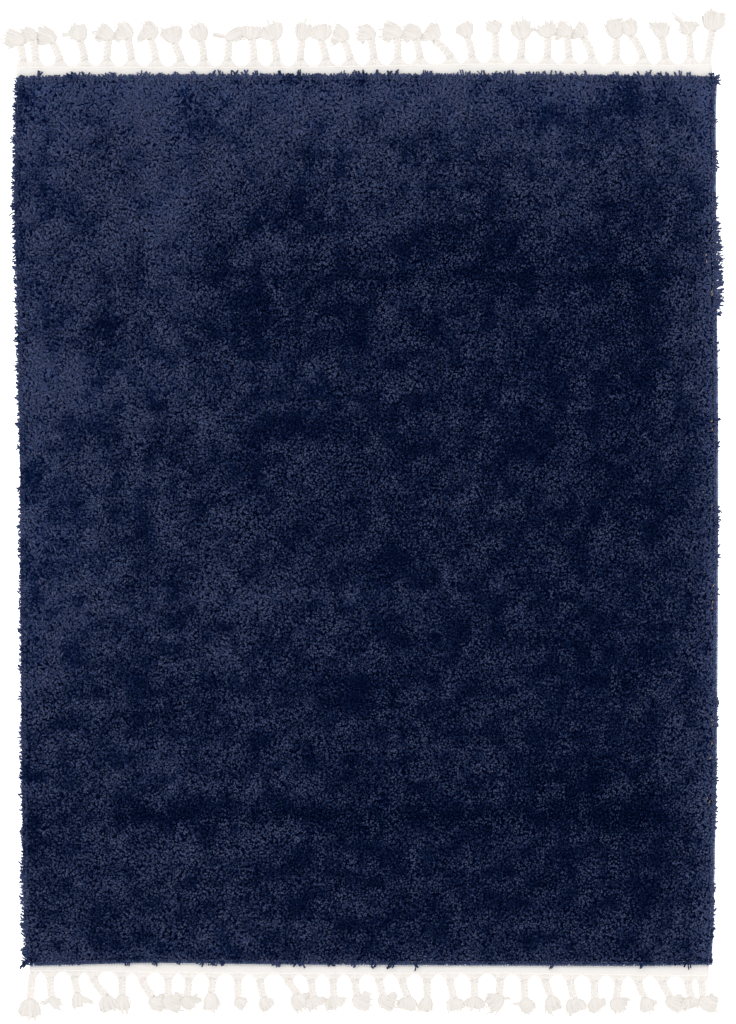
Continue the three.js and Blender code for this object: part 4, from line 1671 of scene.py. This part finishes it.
        rings = sweep(lift(plan, height), lift(across, 0.0), thick, 0.4 * thick, 3, turn)
        rings[..., 2] = np.maximum(rings[..., 2], 0.1 * MM)
        return rings, rng.uniform(0.85, 0.92, count)

    def build(self, cotton: bpy.types.Material, tape_cotton: bpy.types.Material) -> list[bpy.types.Object]:
        """Make the tape, the heading and the tassels as three pieces.

        Args:
            cotton: The yarns' material.
            tape_cotton: The tape's material.

        Returns:
            The three pieces.
        """
        tape, heading, tassels = YarnStock(), YarnStock(), YarnStock()
        tape.add(self.tape(), np.ones(1))
        cords = self.heading()
        # Painted light: the cords are painted a little lighter, against the shade where they meet the
        # gathers.
        heading.add(cords, np.full(len(cords), 1.04))
        if self.edge is Edge.LOWER:
            peeping = self.warp_ends()
            heading.add(peeping, np.full(len(peeping), 0.8))
        tassels.add(*self.gathers(), smooth=False)
        tassels.add(*self.braids())
        ties = self.ties()
        tassels.add(ties, np.full(len(ties), 0.94))
        puffs = self.puffs()
        tassels.add(puffs, np.full(len(puffs), 0.92))
        tassels.add(*self.tufts(26, 2.2 * MM, 1.8 * MM), smooth=False)
        tassels.add(*self.tufts(20, 0.9 * MM, 3.2 * MM), smooth=False)
        end = self.edge.value
        return [
            tape.knot(f"fringe_tape_{end}", tape_cotton),
            heading.knot(f"fringe_heading_{end}", cotton),
            tassels.knot(f"tassels_{end}", cotton),
        ]


@dataclass(frozen=True)
class Studio:
    """A pale lit floor, soft light from all round and from the upper left, and a camera straight above."""

    camera_height: float = 8.0
    camera_x: float = 12.5 * MM
    camera_y: float = 4.6 * MM
    long_side: float = 2.335
    sky: float = 1.0
    sun: float = 0.42
    sun_from: tuple[float, float, float] = (-0.3, 0.4, 1.0)
    sun_angle: float = math.radians(50)
    film_width_mm: float = 36
    paper: Colour = (0.92, 0.92, 0.92, 1)
    light_bounces: int = 8
    floor_glow: float = 1.1
    floor_size: float = 30.0

    def floor(self) -> None:
        """Lay the floor, a sheet of paper over a light table, just under the rug."""
        half = self.floor_size / 2
        under = -0.3 * MM
        corners = [(-half, -half, under), (half, -half, under), (half, half, under), (-half, half, under)]
        mesh = bpy.data.meshes.new("studio_floor")
        mesh.from_pydata(corners, [], [(0, 1, 2, 3)])
        bench = NodeBench("floor_paper")
        paper = bench.finish(
            self.paper, 0.95, bench.noise(300), 0.1 * MM, Specular_IOR_Level=0.0,
            Emission_Color=(1, 1, 1, 1), Emission_Strength=self.floor_glow,
        )
        mesh.materials.append(paper)
        floor = bpy.data.objects.new("studio_floor", mesh)
        bpy.context.scene.collection.objects.link(floor)

    def lights(self) -> None:
        """Light the whole room evenly and add a large soft sun."""
        world = bpy.data.worlds.new("studio")
        world.use_nodes = True
        background = world.node_tree.nodes["Background"]
        background.inputs["Color"].default_value = (1, 1, 1, 1)
        background.inputs["Strength"].default_value = self.sky
        bpy.context.scene.world = world
        lamp = bpy.data.lights.new("key", "SUN")
        lamp.energy = self.sun
        lamp.angle = self.sun_angle
        key = bpy.data.objects.new("key", lamp)
        key.rotation_euler = Vector(self.sun_from).to_track_quat("Z", "Y").to_euler()
        bpy.context.scene.collection.objects.link(key)

    def camera(self) -> None:
        """Hang the camera over the middle of the picture and frame the rug's length."""
        lens = bpy.data.cameras.new("camera")
        lens.sensor_width = self.film_width_mm
        lens.lens = lens.sensor_width * self.camera_height / self.long_side
        lens.clip_end = 100
        camera = bpy.data.objects.new("camera", lens)
        camera.location = (self.camera_x, self.camera_y, self.camera_height)
        bpy.context.scene.collection.objects.link(camera)
        bpy.context.scene.camera = camera

    def build(self) -> None:
        """Set up the whole studio."""
        self.camera()
        self.floor()
        self.lights()
        bpy.context.scene.view_settings.view_transform = "Standard"
        bpy.context.scene.cycles.diffuse_bounces = self.light_bounces


def declare(piece: bpy.types.Object, node: str) -> bpy.types.Object:
    """Carry a piece on the rug's body, in place of its node, and report it.

    Args:
        piece: The new piece.
        node: The node that it stands for.

    Returns:
        The piece.
    """
    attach(piece, ROOT_BODY)
    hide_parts(node)
    triangles = sum(len(face.vertices) - 2 for face in piece.data.polygons)
    log.info("%s: %d triangles, stands for %s", piece.name, triangles, node)
    return piece


def main() -> None:
    """Build the rug from the ground up, then the studio."""
    logging.basicConfig(level=logging.INFO, format="%(name)s: %(message)s", stream=sys.stdout)
    Studio().build()
    outline = RugOutline(SIDE_ROWS, END_ROWS)
    woven, jute = WovenGround(outline), WovenJute().material()
    ground = declare(woven.build(jute), "pile_body")
    pieces = [declare(woven.loops(jute), "pile_body")]
    pieces.append(declare(PileBed(outline).build(PileShade()), "pile_body"))
    pieces += [declare(band, "pile_body") for band in ShagPile(outline).build(PileYarn())]
    wrapping = BindingYarn().material()
    for edge in Edge:
        binding = SergedBinding(outline, edge)
        pieces.append(declare(binding.build(wrapping), binding.node))
    cotton, tape_cotton = FringeCotton().material(), TapeCotton().material()
    upper_ends, lower_ends = (-790 * MM, 797 * MM), (-759 * MM, 790 * MM)
    fringes = (
        Fringe(outline, Edge.UPPER, *upper_ends, UPPER_TASSELS, UPPER_WISPS, seed=60),
        Fringe(outline, Edge.LOWER, *lower_ends, LOWER_TASSELS, LOWER_WISPS, seed=80),
    )
    for fringe in fringes:
        for piece in fringe.build(cotton, tape_cotton):
            pieces.append(declare(piece, f"fringe_{fringe.edge.value}"))


if __name__ == "__main__":
    main()
